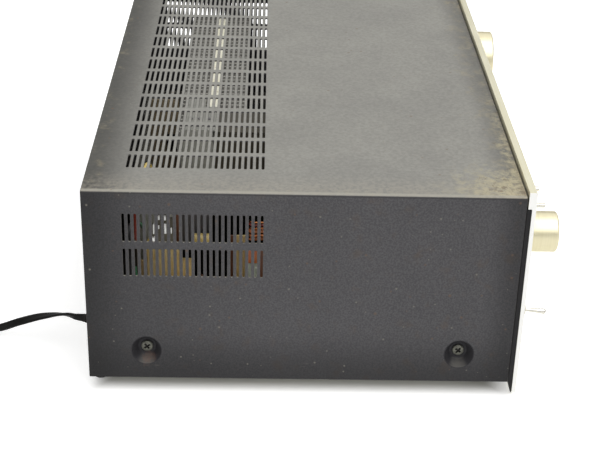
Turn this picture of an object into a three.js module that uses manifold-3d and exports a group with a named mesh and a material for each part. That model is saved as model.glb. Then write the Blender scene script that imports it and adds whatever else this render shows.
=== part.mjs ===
// Integrated amplifier: a vented steel cover over a chassis, an aluminium front panel with
// knobs and levers, a rear panel with sockets, and the working parts inside.
// Millimetres. +Z is up, the front faces -Y, and +X is to the right of someone facing the front.
// The origin is on the surface it stands on, in the middle of its length and width.

import * as THREE from 'three';
import { mergeGeometries, mergeVertices } from 'three/addons/utils/BufferGeometryUtils.js';
import Module from 'manifold-3d';

const wasm = await Module();
wasm.setup();

// Case
const case_width = 436;
const case_depth = 294;
const case_height = 145;
const cover_sheet = 1.2;
const cover_bend = 2.6;
const chassis_sheet = 1.2;
const seat_gap = 0.3;
const running_gap = 0.2;
const cut_overrun = 1;

// Vents: long slots in columns from rear to front and rows across
const slot_columns = 24;
const slot_pitch = 4;
const slot_width = 1.8;
const slot_length = 20.9;
const slot_land = 5.3;
const vent_setback = 27.3;
const vent_margin = 36;
const side_vent_drop = 16.3;
const side_rows = 2;

// Dished wells that hold the cover's screws
const well_radius = 11;
const well_floor_radius = 6.6;
const well_depth = 7;
const well_rise = 22.5;
const well_rear_setback = 40.4;
const well_front_setback = 36.2;
const screw_head_radius = 4;
const screw_head_height = 1.9;
const screw_crown = 0.7;
const screw_shank_radius = 1.9;
const screw_shank_length = 7;
const cross_length = 4.6;
const cross_width = 1;
const cross_depth = 1.1;

// Chassis
const rib_sheet = 1.2;
const rib_height = 42;
const chassis_end_gap = 1;
const post_radius = 3;
const post_height = 7;
const post_inset = 8;
const board_sheet = 1.6;

// Feet
const foot_height = 11;
const foot_radius = 5.6;
const foot_tread_radius = 5;
const rear_foot_setback = 5.6;
const rear_foot_inset = 20;
const front_foot_setback = 34;
const front_foot_inset = 46;

// Front panel and the steel panel behind it
const panel_thickness = 2.8;
const panel_rise = 3.7;
const panel_drop = 8.8;
const panel_lip_depth = 5.4;
const panel_lip_height = 12.2;
const panel_edge = 0.8;
const sub_panel_thickness = 2.9;
const sub_panel_bevel = 2.2;

// Rotary controls: places are from the case's left side and top, seen from the front
const knob_gap = 1;
const knob_edge = 0.9;
const shaft_radius = 3;
const shaft_grip = 13;
const shaft_seat = 8;
const bush_radius = 4.5;
const pot_radius = 11;
const pot_depth = 14;
const selector_radius = 14.3;
const selector_length = 23;
const selector_from_left = 41;
const selector_drop = 46;
const volume_radius = 23.4;
const volume_length = 23;
const volume_from_right = 54;
const volume_drop = 46;
const tone_radius = 10;
const tone_length = 14;
const tone_grip = 9;
const bass_from_left = 112;
const treble_from_left = 156;
const tone_drop = 64;
const input_radius = 14.3;
const input_length = 19;
const input_from_right = 132;
const input_drop = 74;
const pointer_width = 1.2;
const pointer_depth = 0.6;

// Lever switches
const lever_bush_radius = 4.6;
const lever_bush_bore = 3.1;
const lever_bush_reach = 8.7;
const lever_ball_radius = 2.6;
const lever_neck_radius = 1.3;
const lever_tip_radius = 2;
const lever_reach = 24.2;
const lever_pivot_reach = 3;
const lever_tilt_degrees = 6;
const lever_drop = 109;
const power_lever_from_left = 41;
const tape_lever_from_left = 156;
const switch_width = 13;
const switch_height = 18;
const switch_depth = 16;
const switch_wall = 2;

// Push buttons
const button_radius = 1.6;
const button_reach = 9.7;
const button_flange_radius = 2.8;
const button_flange_depth = 2;
const button_stem = 6;
const button_travel = 3;
const button_drop = 14.4;
const button_a_from_left = 18.5;
const button_b_from_left = 44;
const bank_depth = 12;
const bank_height = 10;
const bank_margin = 7;

// Headphone socket
const phones_from_left = 90;
const phones_radius = 6.4;
const phones_bore = 3.2;
const phones_flange = 1.6;
const phones_neck_radius = 5;
const phones_depth = 22;

// Rear panel and its fittings: places are from the case's left side and top, seen from the front
const rear_sheet = 1.2;
const rear_inset = 1;
const jack_columns = 4;
const jack_rows = 2;
const jack_pitch_across = 26;
const jack_pitch_down = 19;
const jack_radius = 4.2;
const jack_bore = 1.6;
const jack_reach = 8.4;
const jack_plate = 2.4;
const jack_margin = 9;
const jack_from_right = 92;
const jack_drop = 50;
const terminal_pitch = 18;
const terminal_count = 4;
const terminal_depth = 11;
const terminal_height = 32;
const terminal_wall = 2.2;
const terminal_from_left = 190;
const terminal_drop = 108;
const tab_height = 15;
const tab_thickness = 2.4;
const tab_pin_radius = 1.6;
const tab_lean_degrees = 6;
const wire_hole_radius = 1.7;
const outlet_width = 36;
const outlet_height = 26;
const outlet_depth = 5;
const outlet_from_left = 120;
const outlet_drop = 48;
const outlet_blade_height = 8;
const outlet_blade_width = 1.9;
const outlet_blade_pitch = 12.7;
const ground_from_right = 176;
const ground_drop = 50;
const ground_knob_radius = 5.5;
const ground_knob_length = 8;
const ground_stud_radius = 2;
const ground_stud_length = 7;

// Parts inside
const sink_depth = 50;
const sink_spine = 8;
const sink_fin = 1.8;
const sink_fin_pitch = 7.6;
const sink_from_left = 150;
const sink_from_right = 22;
const sink_setback = 78.6;
const sink_drop = 23;
const rail_sheet = 1.5;
const rail_width = 8;
const rail_inset = 44;
const module_width = 70;
const module_height = 38;
const module_depth = 9;
const module_lift = 9;
const module_shares = [0.25, 0.75];
const transformer_from_left = 66;
const transformer_setback = 150;
const core_width = 78;
const core_depth = 44;
const core_height = 88;
const winding_width = 50;
const winding_depth = 70;
const winding_height = 62;
const can_radius = 17.5;
const can_height = 72;
const can_setback = 150;
const can_from_left = 150;
const can_pitch = 46;
const can_bead = 1.2;
const power_board_width = 112;
const power_board_depth = 84;
const power_board_from_left = 16;
const power_board_setback = 14;
const preamp_board_from_left = 60;
const preamp_board_from_right = 46;
const preamp_board_from_front = 26;
const preamp_board_clearance = 21;
const relay_width = 30;
const relay_depth = 22;
const relay_height = 27;
const relay_from_left = 60;
const relay_setback = 66;

// Mains cord, flat, with its coil and plug
const cord_width = 5.8;
const cord_thickness = 2.6;
const relief_from_left = 54;
const relief_drop = 131.3;
const relief_flange_radius = 8;
const relief_flange = 2;
const relief_neck_radius = 5.4;
const relief_length = 11.5;
const relief_inner_length = 12;
const relief_inner_radius = 4.4;
const relief_root_radius = 4.8;
const relief_tip_radius = 3.2;
const relief_swing_degrees = 11.5;
const coil_turns = 8.25;
const coil_mean_radius = 32;
const coil_turn_gap = 1.7;
const coil_layer_gap = 0.7;
const coil_lift = 1.2;
const coil_behind = 142;
const coil_from_left = 126;
const coil_run_out = 26;
const climb_share = 0.2;
const tie_turn_share = 0.75;
const tie_clearance = 0.6;
const cord_step_share = 2;
const cord_first_twist_degrees = -110;
const cord_last_twist_degrees = 90;
const cord_twist_power = 4;
const tie_sheet = 0.7;
const tie_width = 4;
const plug_length = 38;
const plug_width = 24;
const plug_height = 20;
const plug_neck = 11;
const plug_shoulder = 9;
const blade_length = 17;
const blade_height = 6.3;
const blade_thickness = 1.5;
const blade_pitch = 12.7;

// Facets of round pieces
const bore_facets = 6;
const small_facets = 8;
const round_facets = 12;
const knob_facets = 24;
const well_facets = 16;
const cord_corners = 8;
const coil_corners = 6;
const steps_per_turn = 20;
const bend_steps = 3;
const ball_steps = 4;

// Materials
const finish = (colour, roughness, metalness) =>
  new THREE.MeshStandardMaterial({ color: colour, roughness, metalness, flatShading: true });
const charcoal_paint = finish(0x3c3e44, 0.55, 0.1);
const champagne = finish(0xe8e2c8, 0.35, 0.8);
const black_steel = finish(0x17181a, 0.5, 0.3);
const zinc_steel = finish(0x9c9c94, 0.4, 0.8);
const dull_steel = finish(0x7b7d74, 0.45, 0.8);
const black_rubber = finish(0x141414, 0.85, 0);
const black_plastic = finish(0x18181a, 0.45, 0);
const phenolic = finish(0x8c6a3a, 0.7, 0);
const grey_aluminium = finish(0x6b6d70, 0.5, 0.6);
const cream_strip = finish(0xd8c89c, 0.6, 0.1);
const orange_tape = finish(0xa85a24, 0.6, 0);
const yellow_case = finish(0xb09a3c, 0.4, 0);
const can_sleeve = finish(0x1d2a4c, 0.4, 0);
const nickel = finish(0xb8b8b0, 0.3, 0.9);

// Places worked out from the sizes
const case_bottom = foot_height;
const case_top = case_bottom + case_height;
const half_width = case_width / 2;
const panel_stack = seat_gap + sub_panel_thickness + seat_gap + panel_thickness;
const front_reach = case_depth + panel_stack + Math.max(lever_reach, knob_gap + selector_length);
const rear_reach = terminal_depth + seat_gap - rear_inset;
const rear_y = (front_reach - rear_reach) / 2;
const from_left = (distance) => distance - half_width;
const from_right = (distance) => half_width - distance;
const behind_rear = (distance) => rear_y - distance;
const below_top = (distance) => case_top - distance;
const cover_front_y = behind_rear(case_depth);
const sub_panel_back_y = cover_front_y - seat_gap;
const panel_back_y = sub_panel_back_y - sub_panel_thickness - seat_gap;
const panel_front_y = panel_back_y - panel_thickness;
const rear_face_y = behind_rear(rear_inset);
const floor_plate_top = case_bottom + chassis_sheet;
const radians = (degrees) => THREE.MathUtils.degToRad(degrees);

// Geometry helpers

/** Shared corners merged, empty triangles dropped, and every face turned outwards. */
function closed(source) {
  const bare = source.clone();
  for (const name of Object.keys(bare.attributes)) {
    if (name !== 'position') bare.deleteAttribute(name);
  }
  const merged = mergeVertices(bare);
  const corner = merged.attributes.position;
  const kept = [];
  let volume = 0;
  const a = new THREE.Vector3();
  const b = new THREE.Vector3();
  const c = new THREE.Vector3();
  for (let i = 0; i < merged.index.count; i += 3) {
    const [p, q, r] = [0, 1, 2].map((k) => merged.index.getX(i + k));
    if (p === q || q === r || r === p) continue;
    kept.push(p, q, r);
    a.fromBufferAttribute(corner, p);
    b.fromBufferAttribute(corner, q);
    c.fromBufferAttribute(corner, r);
    volume += a.dot(b.cross(c));
  }
  if (volume < 0) kept.reverse();
  merged.setIndex(kept);
  return merged;
}

function solid(geometry) {
  const part = closed(geometry);
  return new wasm.Manifold(new wasm.Mesh({
    numProp: 3,
    vertProperties: new Float32Array(part.attributes.position.array),
    triVerts: new Uint32Array(part.index.array),
  }));
}

function surface(manifold) {
  const { vertProperties, triVerts } = manifold.getMesh();
  const geometry = new THREE.BufferGeometry();
  geometry.setAttribute('position', new THREE.BufferAttribute(vertProperties, 3));
  geometry.setIndex(new THREE.BufferAttribute(triVerts, 1));
  return geometry;
}

const cut = (body, ...tools) =>
  surface(tools.reduce((left, tool) => left.subtract(solid(tool)), solid(body)));
const join = (body, ...others) =>
  surface(others.reduce((left, other) => left.add(solid(other)), solid(body)));

/** A block from its low to its high corner. */
function block(x0, x1, y0, y1, z0, z1) {
  const geometry = new THREE.BoxGeometry(x1 - x0, y1 - y0, z1 - z0);
  return geometry.translate((x0 + x1) / 2, (y0 + y1) / 2, (z0 + z1) / 2);
}

/** A block centred on x and z that runs along y. */
const bar = (width, y0, y1, height) => block(-width / 2, width / 2, y0, y1, -height / 2, height / 2);

/** A round piece about Y from [radius, y] pairs that start and end on the axis or close a ring. */
function turned(profile, facets = round_facets) {
  const geometry = new THREE.LatheGeometry(profile.map(([r, y]) => new THREE.Vector2(r, y)), facets);
  return closed(geometry);
}

/** A cylinder about Y between two y values. */
const rod = (radius, y0, y1, facets = round_facets) =>
  turned([[0, y0], [radius, y0], [radius, y1], [0, y1]], facets);

/** An outline of [x, z] pairs carried along Y. */
function carried(outline, y0, y1) {
  const shape = new THREE.Shape(outline.map(([x, z]) => new THREE.Vector2(x, -z)));
  const geometry = new THREE.ExtrudeGeometry(shape, { depth: y1 - y0, bevelEnabled: false });
  return closed(geometry.rotateX(-Math.PI / 2).translate(0, y0, 0));
}

/** An outline of [y, z] pairs carried along X. */
function carriedAcross(outline, x0, x1) {
  const shape = new THREE.Shape(outline.map(([y, z]) => new THREE.Vector2(y, z)));
  const geometry = new THREE.ExtrudeGeometry(shape, { depth: x1 - x0, bevelEnabled: false });
  return closed(geometry.rotateY(Math.PI / 2).rotateX(Math.PI / 2).translate(x0, 0, 0));
}

const amplifier = new THREE.Group();

function add(name, geometry, material, x = 0, y = 0, z = 0) {
  const mesh = new THREE.Mesh(closed(geometry), material);
  mesh.name = name;
  mesh.position.set(x, y, z);
  amplifier.add(mesh);
  return mesh;
}

// Cover
const row_pitch = slot_length + slot_land;
const top_rows = Math.floor((case_width - 2 * vent_margin + slot_land) / row_pitch);
const first_row = -(top_rows * row_pitch - slot_land) / 2;
const well_places = [well_rear_setback, case_depth - well_front_setback];
const well_z = case_bottom + well_rise;

function columnPlaces() {
  return Array.from({ length: slot_columns }, (_, i) => behind_rear(vent_setback + i * slot_pitch));
}

/** The blocks that cut the slots of the top and both sides. */
function ventBlocks() {
  const blocks = [];
  for (const y of columnPlaces()) {
    const [low, high] = [y - slot_width / 2, y + slot_width / 2];
    for (let row = 0; row < top_rows; row++) {
      const x = first_row + row * row_pitch;
      blocks.push(block(x, x + slot_length, low, high, case_top - 2 * cover_sheet, case_top + cut_overrun));
    }
    for (let row = 0; row < side_rows; row++) {
      const z = below_top(side_vent_drop + slot_length + row * row_pitch);
      const [inner, outer] = [half_width - 2 * cover_sheet, half_width + cut_overrun];
      blocks.push(block(inner, outer, low, high, z, z + slot_length));
      blocks.push(block(-outer, -inner, low, high, z, z + slot_length));
    }
  }
  return mergeGeometries(blocks);
}

/** The U-shaped section: sides and top with a bend at each upper corner. */
function coverOutline() {
  const arc = (side, radius) =>
    Array.from({ length: bend_steps + 1 }, (_, i) => {
      const turn = (Math.PI / 2) * (i / bend_steps);
      const reach = half_width - cover_bend + radius * Math.cos(turn);
      return [side * reach, case_top - cover_bend + radius * Math.sin(turn)];
    });
  const outer = [...arc(1, cover_bend), ...arc(-1, cover_bend).reverse()];
  const inner = [...arc(1, cover_bend - cover_sheet), ...arc(-1, cover_bend - cover_sheet).reverse()];
  return [
    [half_width, case_bottom], ...outer, [-half_width, case_bottom],
    [-half_width + cover_sheet, case_bottom], ...inner.reverse(), [half_width - cover_sheet, case_bottom],
  ];
}

/** A cone about X, from radius at x0 to radius at x1. */
function dish(radius0, x0, radius1, x1) {
  return turned([[0, x0], [radius0, x0], [radius1, x1], [0, x1]], well_facets).rotateZ(-Math.PI / 2);
}

function topCover() {
  let body = solid(carried(coverOutline(), cover_front_y, rear_y));
  const slope = (well_radius - well_floor_radius) / well_depth;
  for (const side of [-1, 1]) {
    for (const setback of well_places) {
      const place = (geometry) =>
        geometry.rotateZ(side > 0 ? Math.PI : 0).translate(side * half_width, behind_rear(setback), well_z);
      const wall = dish(well_radius + cover_sheet, cover_sheet / 2, well_floor_radius + cover_sheet,
        well_depth + cover_sheet);
      const hollow = dish(well_radius + slope * cut_overrun, -cut_overrun, well_floor_radius, well_depth);
      const hole = dish(screw_shank_radius + seat_gap, 0, screw_shank_radius + seat_gap,
        well_depth + cover_sheet + cut_overrun);
      body = body.add(solid(place(wall))).subtract(solid(place(hollow))).subtract(solid(place(hole)));
    }
  }
  return surface(body.subtract(solid(ventBlocks())));
}
add('top_cover', topCover(), charcoal_paint);

function coverScrew() {
  const crown_radius = screw_head_radius - screw_crown;
  const body = turned([
    [0, -screw_shank_length], [screw_shank_radius, -screw_shank_length], [screw_shank_radius, 0],
    [screw_head_radius, 0], [screw_head_radius, screw_head_height - screw_crown],
    [crown_radius, screw_head_height], [0, screw_head_height],
  ]);
  const low = screw_head_height - cross_depth;
  const high = screw_head_height + cut_overrun;
  return cut(body, bar(cross_length, low, high, cross_width), bar(cross_width, low, high, cross_length));
}

for (const [side, hand] of [[-1, 'left'], [1, 'right']]) {
  for (const [setback, end] of [[well_places[0], 'rear'], [well_places[1], 'front']]) {
    const screw = add(`cover_screw_${end}_${hand}`, coverScrew(), dull_steel,
      side * (half_width - well_depth + seat_gap), behind_rear(setback), well_z);
    screw.rotation.z = side * -Math.PI / 2;
  }
}

// Chassis: floor plate, two ribs that take the cover's screws, and posts for the boards
const chassis_half = half_width - cover_sheet - seat_gap;
const rib_face = half_width - well_depth - cover_sheet - seat_gap;
const chassis_rear_y = behind_rear(chassis_end_gap + rear_sheet + seat_gap);
const chassis_front_y = cover_front_y + chassis_end_gap;
const board_z = floor_plate_top + post_height + seat_gap;
const preamp_board_width = case_width - preamp_board_from_left - preamp_board_from_right;
const preamp_board_setback = transformer_setback + winding_depth / 2 + preamp_board_clearance;
const preamp_board_depth = case_depth - preamp_board_setback - preamp_board_from_front;

function boardPosts(left, width, setback, depth) {
  const posts = [];
  for (const x of [left + post_inset, left + width - post_inset]) {
    for (const back of [setback + post_inset, setback + depth - post_inset]) {
      const post = rod(post_radius, 0, post_height + chassis_sheet / 2, small_facets).rotateX(Math.PI / 2);
      posts.push(post.translate(from_left(x), behind_rear(back), floor_plate_top - chassis_sheet / 2));
    }
  }
  return posts;
}

function chassis() {
  const plate = block(-chassis_half, chassis_half, chassis_front_y, chassis_rear_y, case_bottom, floor_plate_top);
  const ribs = [-1, 1].map((side) => {
    const [near, far] = [side * rib_face, side * (rib_face - rib_sheet)].sort((p, q) => p - q);
    const rib = block(near, far, chassis_front_y, chassis_rear_y, case_bottom, case_bottom + rib_height);
    const holes = well_places.map((setback) =>
      rod(screw_shank_radius + seat_gap, -well_depth, well_depth, small_facets).rotateZ(Math.PI / 2)
        .translate(side * (rib_face - rib_sheet / 2), behind_rear(setback), well_z));
    return cut(rib, ...holes);
  });
  const posts = [
    ...boardPosts(power_board_from_left, power_board_width, power_board_setback, power_board_depth),
    ...boardPosts(preamp_board_from_left, preamp_board_width, preamp_board_setback, preamp_board_depth),
  ];
  return join(plate, ...ribs, ...posts);
}
add('chassis', chassis(), zinc_steel);

// Feet
function foot() {
  return turned([
    [0, 0], [foot_tread_radius, 0], [foot_radius, foot_height / 3],
    [foot_radius, foot_height - seat_gap], [0, foot_height - seat_gap],
  ], round_facets).rotateX(Math.PI / 2);
}
for (const [side, hand] of [[-1, 'left'], [1, 'right']]) {
  add(`foot_rear_${hand}`, foot(), black_rubber, side * (half_width - rear_foot_inset), behind_rear(rear_foot_setback));
  add(`foot_front_${hand}`, foot(), black_rubber,
    side * (half_width - front_foot_inset), cover_front_y + front_foot_setback);
}

// Front panels
const selector_place = [from_left(selector_from_left), below_top(selector_drop)];
const volume_place = [from_right(volume_from_right), below_top(volume_drop)];
const bass_place = [from_left(bass_from_left), below_top(tone_drop)];
const treble_place = [from_left(treble_from_left), below_top(tone_drop)];
const input_place = [from_right(input_from_right), below_top(input_drop)];
const power_place = [from_left(power_lever_from_left), below_top(lever_drop)];
const tape_place = [from_left(tape_lever_from_left), below_top(lever_drop)];
const phones_place = [from_left(phones_from_left), below_top(lever_drop)];
const button_places = [button_a_from_left, button_b_from_left].map((x) => [from_left(x), below_top(button_drop)]);

/** The holes through both panels, each as wide as what passes through it and a clearance. */
function panelHoles() {
  const hole = (radius) => ([x, z]) =>
    rod(radius + seat_gap, panel_front_y - cut_overrun, sub_panel_back_y + cut_overrun, round_facets)
      .translate(x, 0, z);
  return [
    ...[selector_place, volume_place, bass_place, treble_place, input_place].map(hole(bush_radius)),
    ...[power_place, tape_place].map(hole(lever_bush_radius)),
    ...button_places.map(hole(button_radius)),
    hole(phones_neck_radius)(phones_place),
  ];
}

function subPanel() {
  const top = case_top + panel_rise - panel_lip_height - seat_gap;
  const bottom = case_bottom - panel_drop;
  const front = sub_panel_back_y - sub_panel_thickness;
  const outline = [
    [front, bottom], [front + sub_panel_thickness - sub_panel_bevel, bottom],
    [sub_panel_back_y, case_bottom], [sub_panel_back_y, top], [front, top],
  ];
  return cut(carriedAcross(outline, -half_width, half_width), ...panelHoles());
}
add('front_sub_panel', subPanel(), black_steel);

function frontPanel() {
  const top = case_top + panel_rise;
  const bottom = case_bottom - panel_drop;
  const lip_y = panel_front_y + panel_lip_depth;
  const outline = [
    [panel_front_y, bottom], [panel_back_y, bottom], [panel_back_y, top - panel_lip_height],
    [lip_y, top - panel_lip_height], [lip_y, top],
    [panel_front_y + panel_edge, top], [panel_front_y, top - panel_edge],
  ];
  return cut(carriedAcross(outline, -half_width, half_width), ...panelHoles());
}
add('front_panel', frontPanel(), champagne);

// Rotary controls: each has a body behind the panels, a shaft and a knob

/** The control's body and threaded bush, with a blind bore for its shaft. */
function controlBody() {
  const back = sub_panel_back_y + seat_gap + pot_depth;
  const face = sub_panel_back_y + seat_gap;
  const bush_end = panel_front_y - knob_gap / 2;
  const bore = shaft_radius + running_gap;
  return turned([
    [0, back], [pot_radius, back], [pot_radius, face], [bush_radius, face], [bush_radius, bush_end],
    [bore, bush_end], [bore, face + shaft_seat], [0, face + shaft_seat],
  ]);
}

function knob(radius, length, grip) {
  const back = panel_front_y - knob_gap;
  const front = back - length;
  const bore = shaft_radius + running_gap;
  const body = turned([
    [0, back - grip], [bore, back - grip], [bore, back], [radius, back],
    [radius, front + knob_edge], [radius - knob_edge, front], [0, front],
  ], knob_facets);
  const pointer = block(-pointer_width / 2, pointer_width / 2, front - cut_overrun, front + pointer_depth,
    radius / 2, radius + cut_overrun);
  return cut(body, pointer);
}

function rotaryControl(name, body_name, [x, z], radius, length, grip) {
  const seat_y = sub_panel_back_y + seat_gap + shaft_seat - running_gap;
  const tip_y = panel_front_y - knob_gap - grip + running_gap;
  add(body_name, controlBody(), zinc_steel, x, 0, z);
  add(`${name}_shaft`, rod(shaft_radius, tip_y, seat_y, small_facets), nickel, x, 0, z);
  add(`${name}_knob`, knob(radius, length, grip), champagne, x, 0, z);
}
rotaryControl('speaker', 'speaker_switch', selector_place, selector_radius, selector_length, shaft_grip);
rotaryControl('bass', 'bass_pot', bass_place, tone_radius, tone_length, tone_grip);
rotaryControl('treble', 'treble_pot', treble_place, tone_radius, tone_length, tone_grip);
rotaryControl('input', 'input_switch', input_place, input_radius, input_length, shaft_grip);
rotaryControl('volume', 'volume_pot', volume_place, volume_radius, volume_length, shaft_grip);

// Lever switches: a box with a round bush, and a lever that swings up and down in it
function leverSwitch() {
  const face = sub_panel_back_y + seat_gap;
  const bush_end = panel_front_y - lever_bush_reach;
  const body = bar(switch_width, face, face + switch_depth, switch_height);
  const bush = rod(lever_bush_radius, bush_end, face + switch_wall);
  const bore = rod(lever_bush_bore, bush_end - cut_overrun, face + switch_wall);
  return surface(solid(join(body, bush)).subtract(solid(bore)));
}

/** The lever lies along -Y from its ball, which is at the origin. */
function lever() {
  const reach = lever_reach - lever_pivot_reach;
  const ball = Array.from({ length: ball_steps }, (_, i) => {
    const turn = (i / ball_steps) * Math.PI;
    return [lever_ball_radius * Math.sin(turn), lever_ball_radius * Math.cos(turn)];
  });
  return turned([
    ...ball, [lever_neck_radius, -2 * lever_ball_radius], [lever_tip_radius, -reach + 2 * lever_tip_radius],
    [lever_tip_radius, -reach + lever_tip_radius / 2], [lever_tip_radius / 2, -reach], [0, -reach],
  ], small_facets);
}

for (const [name, [x, z]] of [['power', power_place], ['tape', tape_place]]) {
  add(`${name}_switch`, leverSwitch(), zinc_steel, x, 0, z);
  const stick = add(`${name}_lever`, lever(), nickel, x, panel_front_y - lever_pivot_reach, z);
  stick.rotation.x = radians(lever_tilt_degrees);
}

// Push buttons, each with a flange behind the panels, and the bank of switches that takes both stems
const bank_front_y = sub_panel_back_y + button_travel + button_flange_depth + 2 * seat_gap;

function pushButton() {
  const flange_front = sub_panel_back_y + seat_gap;
  const flange_back = flange_front + button_flange_depth;
  const tip = panel_front_y - button_reach;
  return turned([
    [0, flange_back + button_stem], [button_radius, flange_back + button_stem], [button_radius, flange_back],
    [button_flange_radius, flange_back], [button_flange_radius, flange_front], [button_radius, flange_front],
    [button_radius, tip + button_radius / 2], [button_radius / 2, tip], [0, tip],
  ], small_facets);
}

function switchBank() {
  const [left, right] = button_places.map(([x]) => x);
  const z = button_places[0][1];
  const body = block(left - bank_margin, right + bank_margin, bank_front_y, bank_front_y + bank_depth,
    z - bank_height / 2, z + bank_height / 2);
  const foot_plate = block(left + bank_margin, right - bank_margin, sub_panel_back_y + seat_gap,
    bank_front_y + bank_depth, z - bank_height / 2, z - bank_height / 2 + chassis_sheet);
  const bores = button_places.map(([x]) =>
    rod(button_radius + seat_gap, bank_front_y - cut_overrun,
      bank_front_y + button_stem + button_travel, small_facets).translate(x, 0, z));
  return surface(bores.reduce((left_over, bore) => left_over.subtract(solid(bore)), solid(join(body, foot_plate))));
}

button_places.forEach(([x, z], i) => add(`speaker_button_${'ab'[i]}`, pushButton(), nickel, x, 0, z));
add('button_switch_bank', switchBank(), black_plastic);

// Headphone socket
function headphoneSocket() {
  const face = panel_front_y - seat_gap;
  return turned([
    [phones_bore, face + phones_depth], [phones_neck_radius, face + phones_depth],
    [phones_neck_radius, face], [phones_radius, face], [phones_radius, face - phones_flange],
    [phones_bore, face - phones_flange], [phones_bore, face + phones_depth],
  ]);
}
add('headphone_jack', headphoneSocket(), nickel, phones_place[0], 0, phones_place[1]);

// Rear panel, with an opening behind each fitting
const fitting_y = rear_face_y + seat_gap;
const jack_place = [from_right(jack_from_right), below_top(jack_drop)];
const terminal_place = [from_left(terminal_from_left), below_top(terminal_drop)];
const outlet_place = [from_left(outlet_from_left), below_top(outlet_drop)];
const ground_place = [from_right(ground_from_right), below_top(ground_drop)];
const relief_place = [from_left(relief_from_left), below_top(relief_drop)];

function rearPanel() {
  const half = half_width - cover_bend;
  const plate = block(-half, half, rear_face_y - rear_sheet, rear_face_y, case_bottom, case_top - cover_bend);
  const through = (radius, [x, z]) =>
    rod(radius + seat_gap, rear_face_y - rear_sheet - cut_overrun, rear_face_y + cut_overrun).translate(x, 0, z);
  return cut(plate, through(relief_neck_radius, relief_place), through(ground_stud_radius, ground_place));
}
add('rear_panel', rearPanel(), black_steel);

const jack_span = (jack_columns - 1) * jack_pitch_across;
const jack_drop_span = (jack_rows - 1) * jack_pitch_down;

function jackBlock() {
  const plate = bar(jack_span + 2 * jack_margin, 0, jack_plate, jack_drop_span + 2 * jack_margin);
  const sleeves = [];
  const bores = [];
  for (let column = 0; column < jack_columns; column++) {
    for (let row = 0; row < jack_rows; row++) {
      const x = column * jack_pitch_across - jack_span / 2;
      const z = row * jack_pitch_down - jack_drop_span / 2;
      sleeves.push(rod(jack_radius, jack_plate / 2, jack_plate + jack_reach, small_facets).translate(x, 0, z));
      bores.push(rod(jack_bore, jack_plate, jack_plate + jack_reach + cut_overrun, bore_facets).translate(x, 0, z));
    }
  }
  return cut(join(plate, ...sleeves), ...bores);
}
add('phono_jack_block', jackBlock(), phenolic, jack_place[0], fitting_y, jack_place[1]);

// Speaker terminals: a block with a pocket for each sprung tab and a hole for each wire
const terminal_width = terminal_count * terminal_pitch;
const pocket_width = terminal_pitch - 2 * terminal_wall;
const pocket_depth = terminal_depth - terminal_wall;
const tab_pin_z = terminal_height / 2 - terminal_wall - tab_pin_radius - running_gap;
const tab_pin_y = terminal_depth - terminal_wall - tab_pin_radius;
const tab_places = Array.from({ length: terminal_count }, (_, i) =>
  (i + 0.5) * terminal_pitch - terminal_width / 2);

function terminalBlock() {
  const body = bar(terminal_width, 0, terminal_depth, terminal_height);
  const pocket_low = tab_pin_z - tab_height - 2 * running_gap;
  const pockets = tab_places.map((x) =>
    block(x - pocket_width / 2, x + pocket_width / 2, terminal_depth - pocket_depth, terminal_depth + cut_overrun,
      pocket_low, terminal_height / 2 - terminal_wall));
  const holes = tab_places.map((x) =>
    rod(wire_hole_radius, terminal_wall, terminal_depth + cut_overrun, bore_facets)
      .translate(x, 0, (pocket_low - terminal_height / 2) / 2));
  return cut(body, ...pockets, ...holes);
}
add('speaker_terminal_block', terminalBlock(), black_plastic, terminal_place[0], fitting_y, terminal_place[1]);

/** A tab hangs from its round upper edge, which is at the origin. */
function terminalTab() {
  const half = pocket_width / 2 - seat_gap;
  const pin = rod(tab_pin_radius, -half, half, small_facets).rotateZ(Math.PI / 2);
  const plate = block(-half, half, tab_pin_radius - tab_thickness, tab_pin_radius, -tab_height, 0);
  return join(pin, plate);
}
tab_places.forEach((x, i) => {
  const tab = add(`speaker_tab_${i + 1}`, terminalTab(), i % 2 ? black_plastic : orange_tape,
    terminal_place[0] + x, fitting_y + tab_pin_y, terminal_place[1] + tab_pin_z);
  tab.rotation.x = radians(tab_lean_degrees);
});

function mainsOutlet() {
  const plate = bar(outlet_width, 0, outlet_depth, outlet_height);
  const slots = [-1, 1].map((side) =>
    bar(outlet_blade_width, outlet_depth / 3, outlet_depth + cut_overrun, outlet_blade_height)
      .translate(side * outlet_blade_pitch / 2, 0, 0));
  return cut(plate, ...slots);
}
add('ac_outlet', mainsOutlet(), black_plastic, outlet_place[0], fitting_y, outlet_place[1]);

function groundPost() {
  return turned([
    [0, -ground_stud_length], [ground_stud_radius, -ground_stud_length], [ground_stud_radius, 0],
    [ground_knob_radius, 0], [ground_knob_radius, ground_knob_length], [0, ground_knob_length],
  ], small_facets);
}
add('ground_post', groundPost(), nickel, ground_place[0], fitting_y, ground_place[1]);

// Heat sink: a spine across the case with fins to the rear and the front
const sink_length = case_width - sink_from_left - sink_from_right;
const sink_bottom = floor_plate_top + seat_gap;
const sink_top = below_top(sink_drop);

function heatSink() {
  const fin_count = Math.floor((sink_length - sink_fin) / sink_fin_pitch) + 1;
  const reach = sink_depth / 2;
  const outline = [];
  const side = (sign) => {
    const edge = [];
    for (let i = 0; i < fin_count; i++) {
      const x = i * sink_fin_pitch;
      edge.push([x, sign * sink_spine / 2], [x, sign * reach], [x + sink_fin, sign * reach],
        [x + sink_fin, sign * sink_spine / 2]);
    }
    return edge.slice(1, -1);
  };
  outline.push(...side(1), ...side(-1).reverse());
  const shape = new THREE.Shape(outline.map(([x, y]) => new THREE.Vector2(x, y)));
  const geometry = new THREE.ExtrudeGeometry(shape, { depth: sink_top - sink_bottom, bevelEnabled: false });
  return closed(geometry);
}
add('heat_sink', heatSink(), grey_aluminium, from_left(sink_from_left), behind_rear(sink_setback), sink_bottom);

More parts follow.
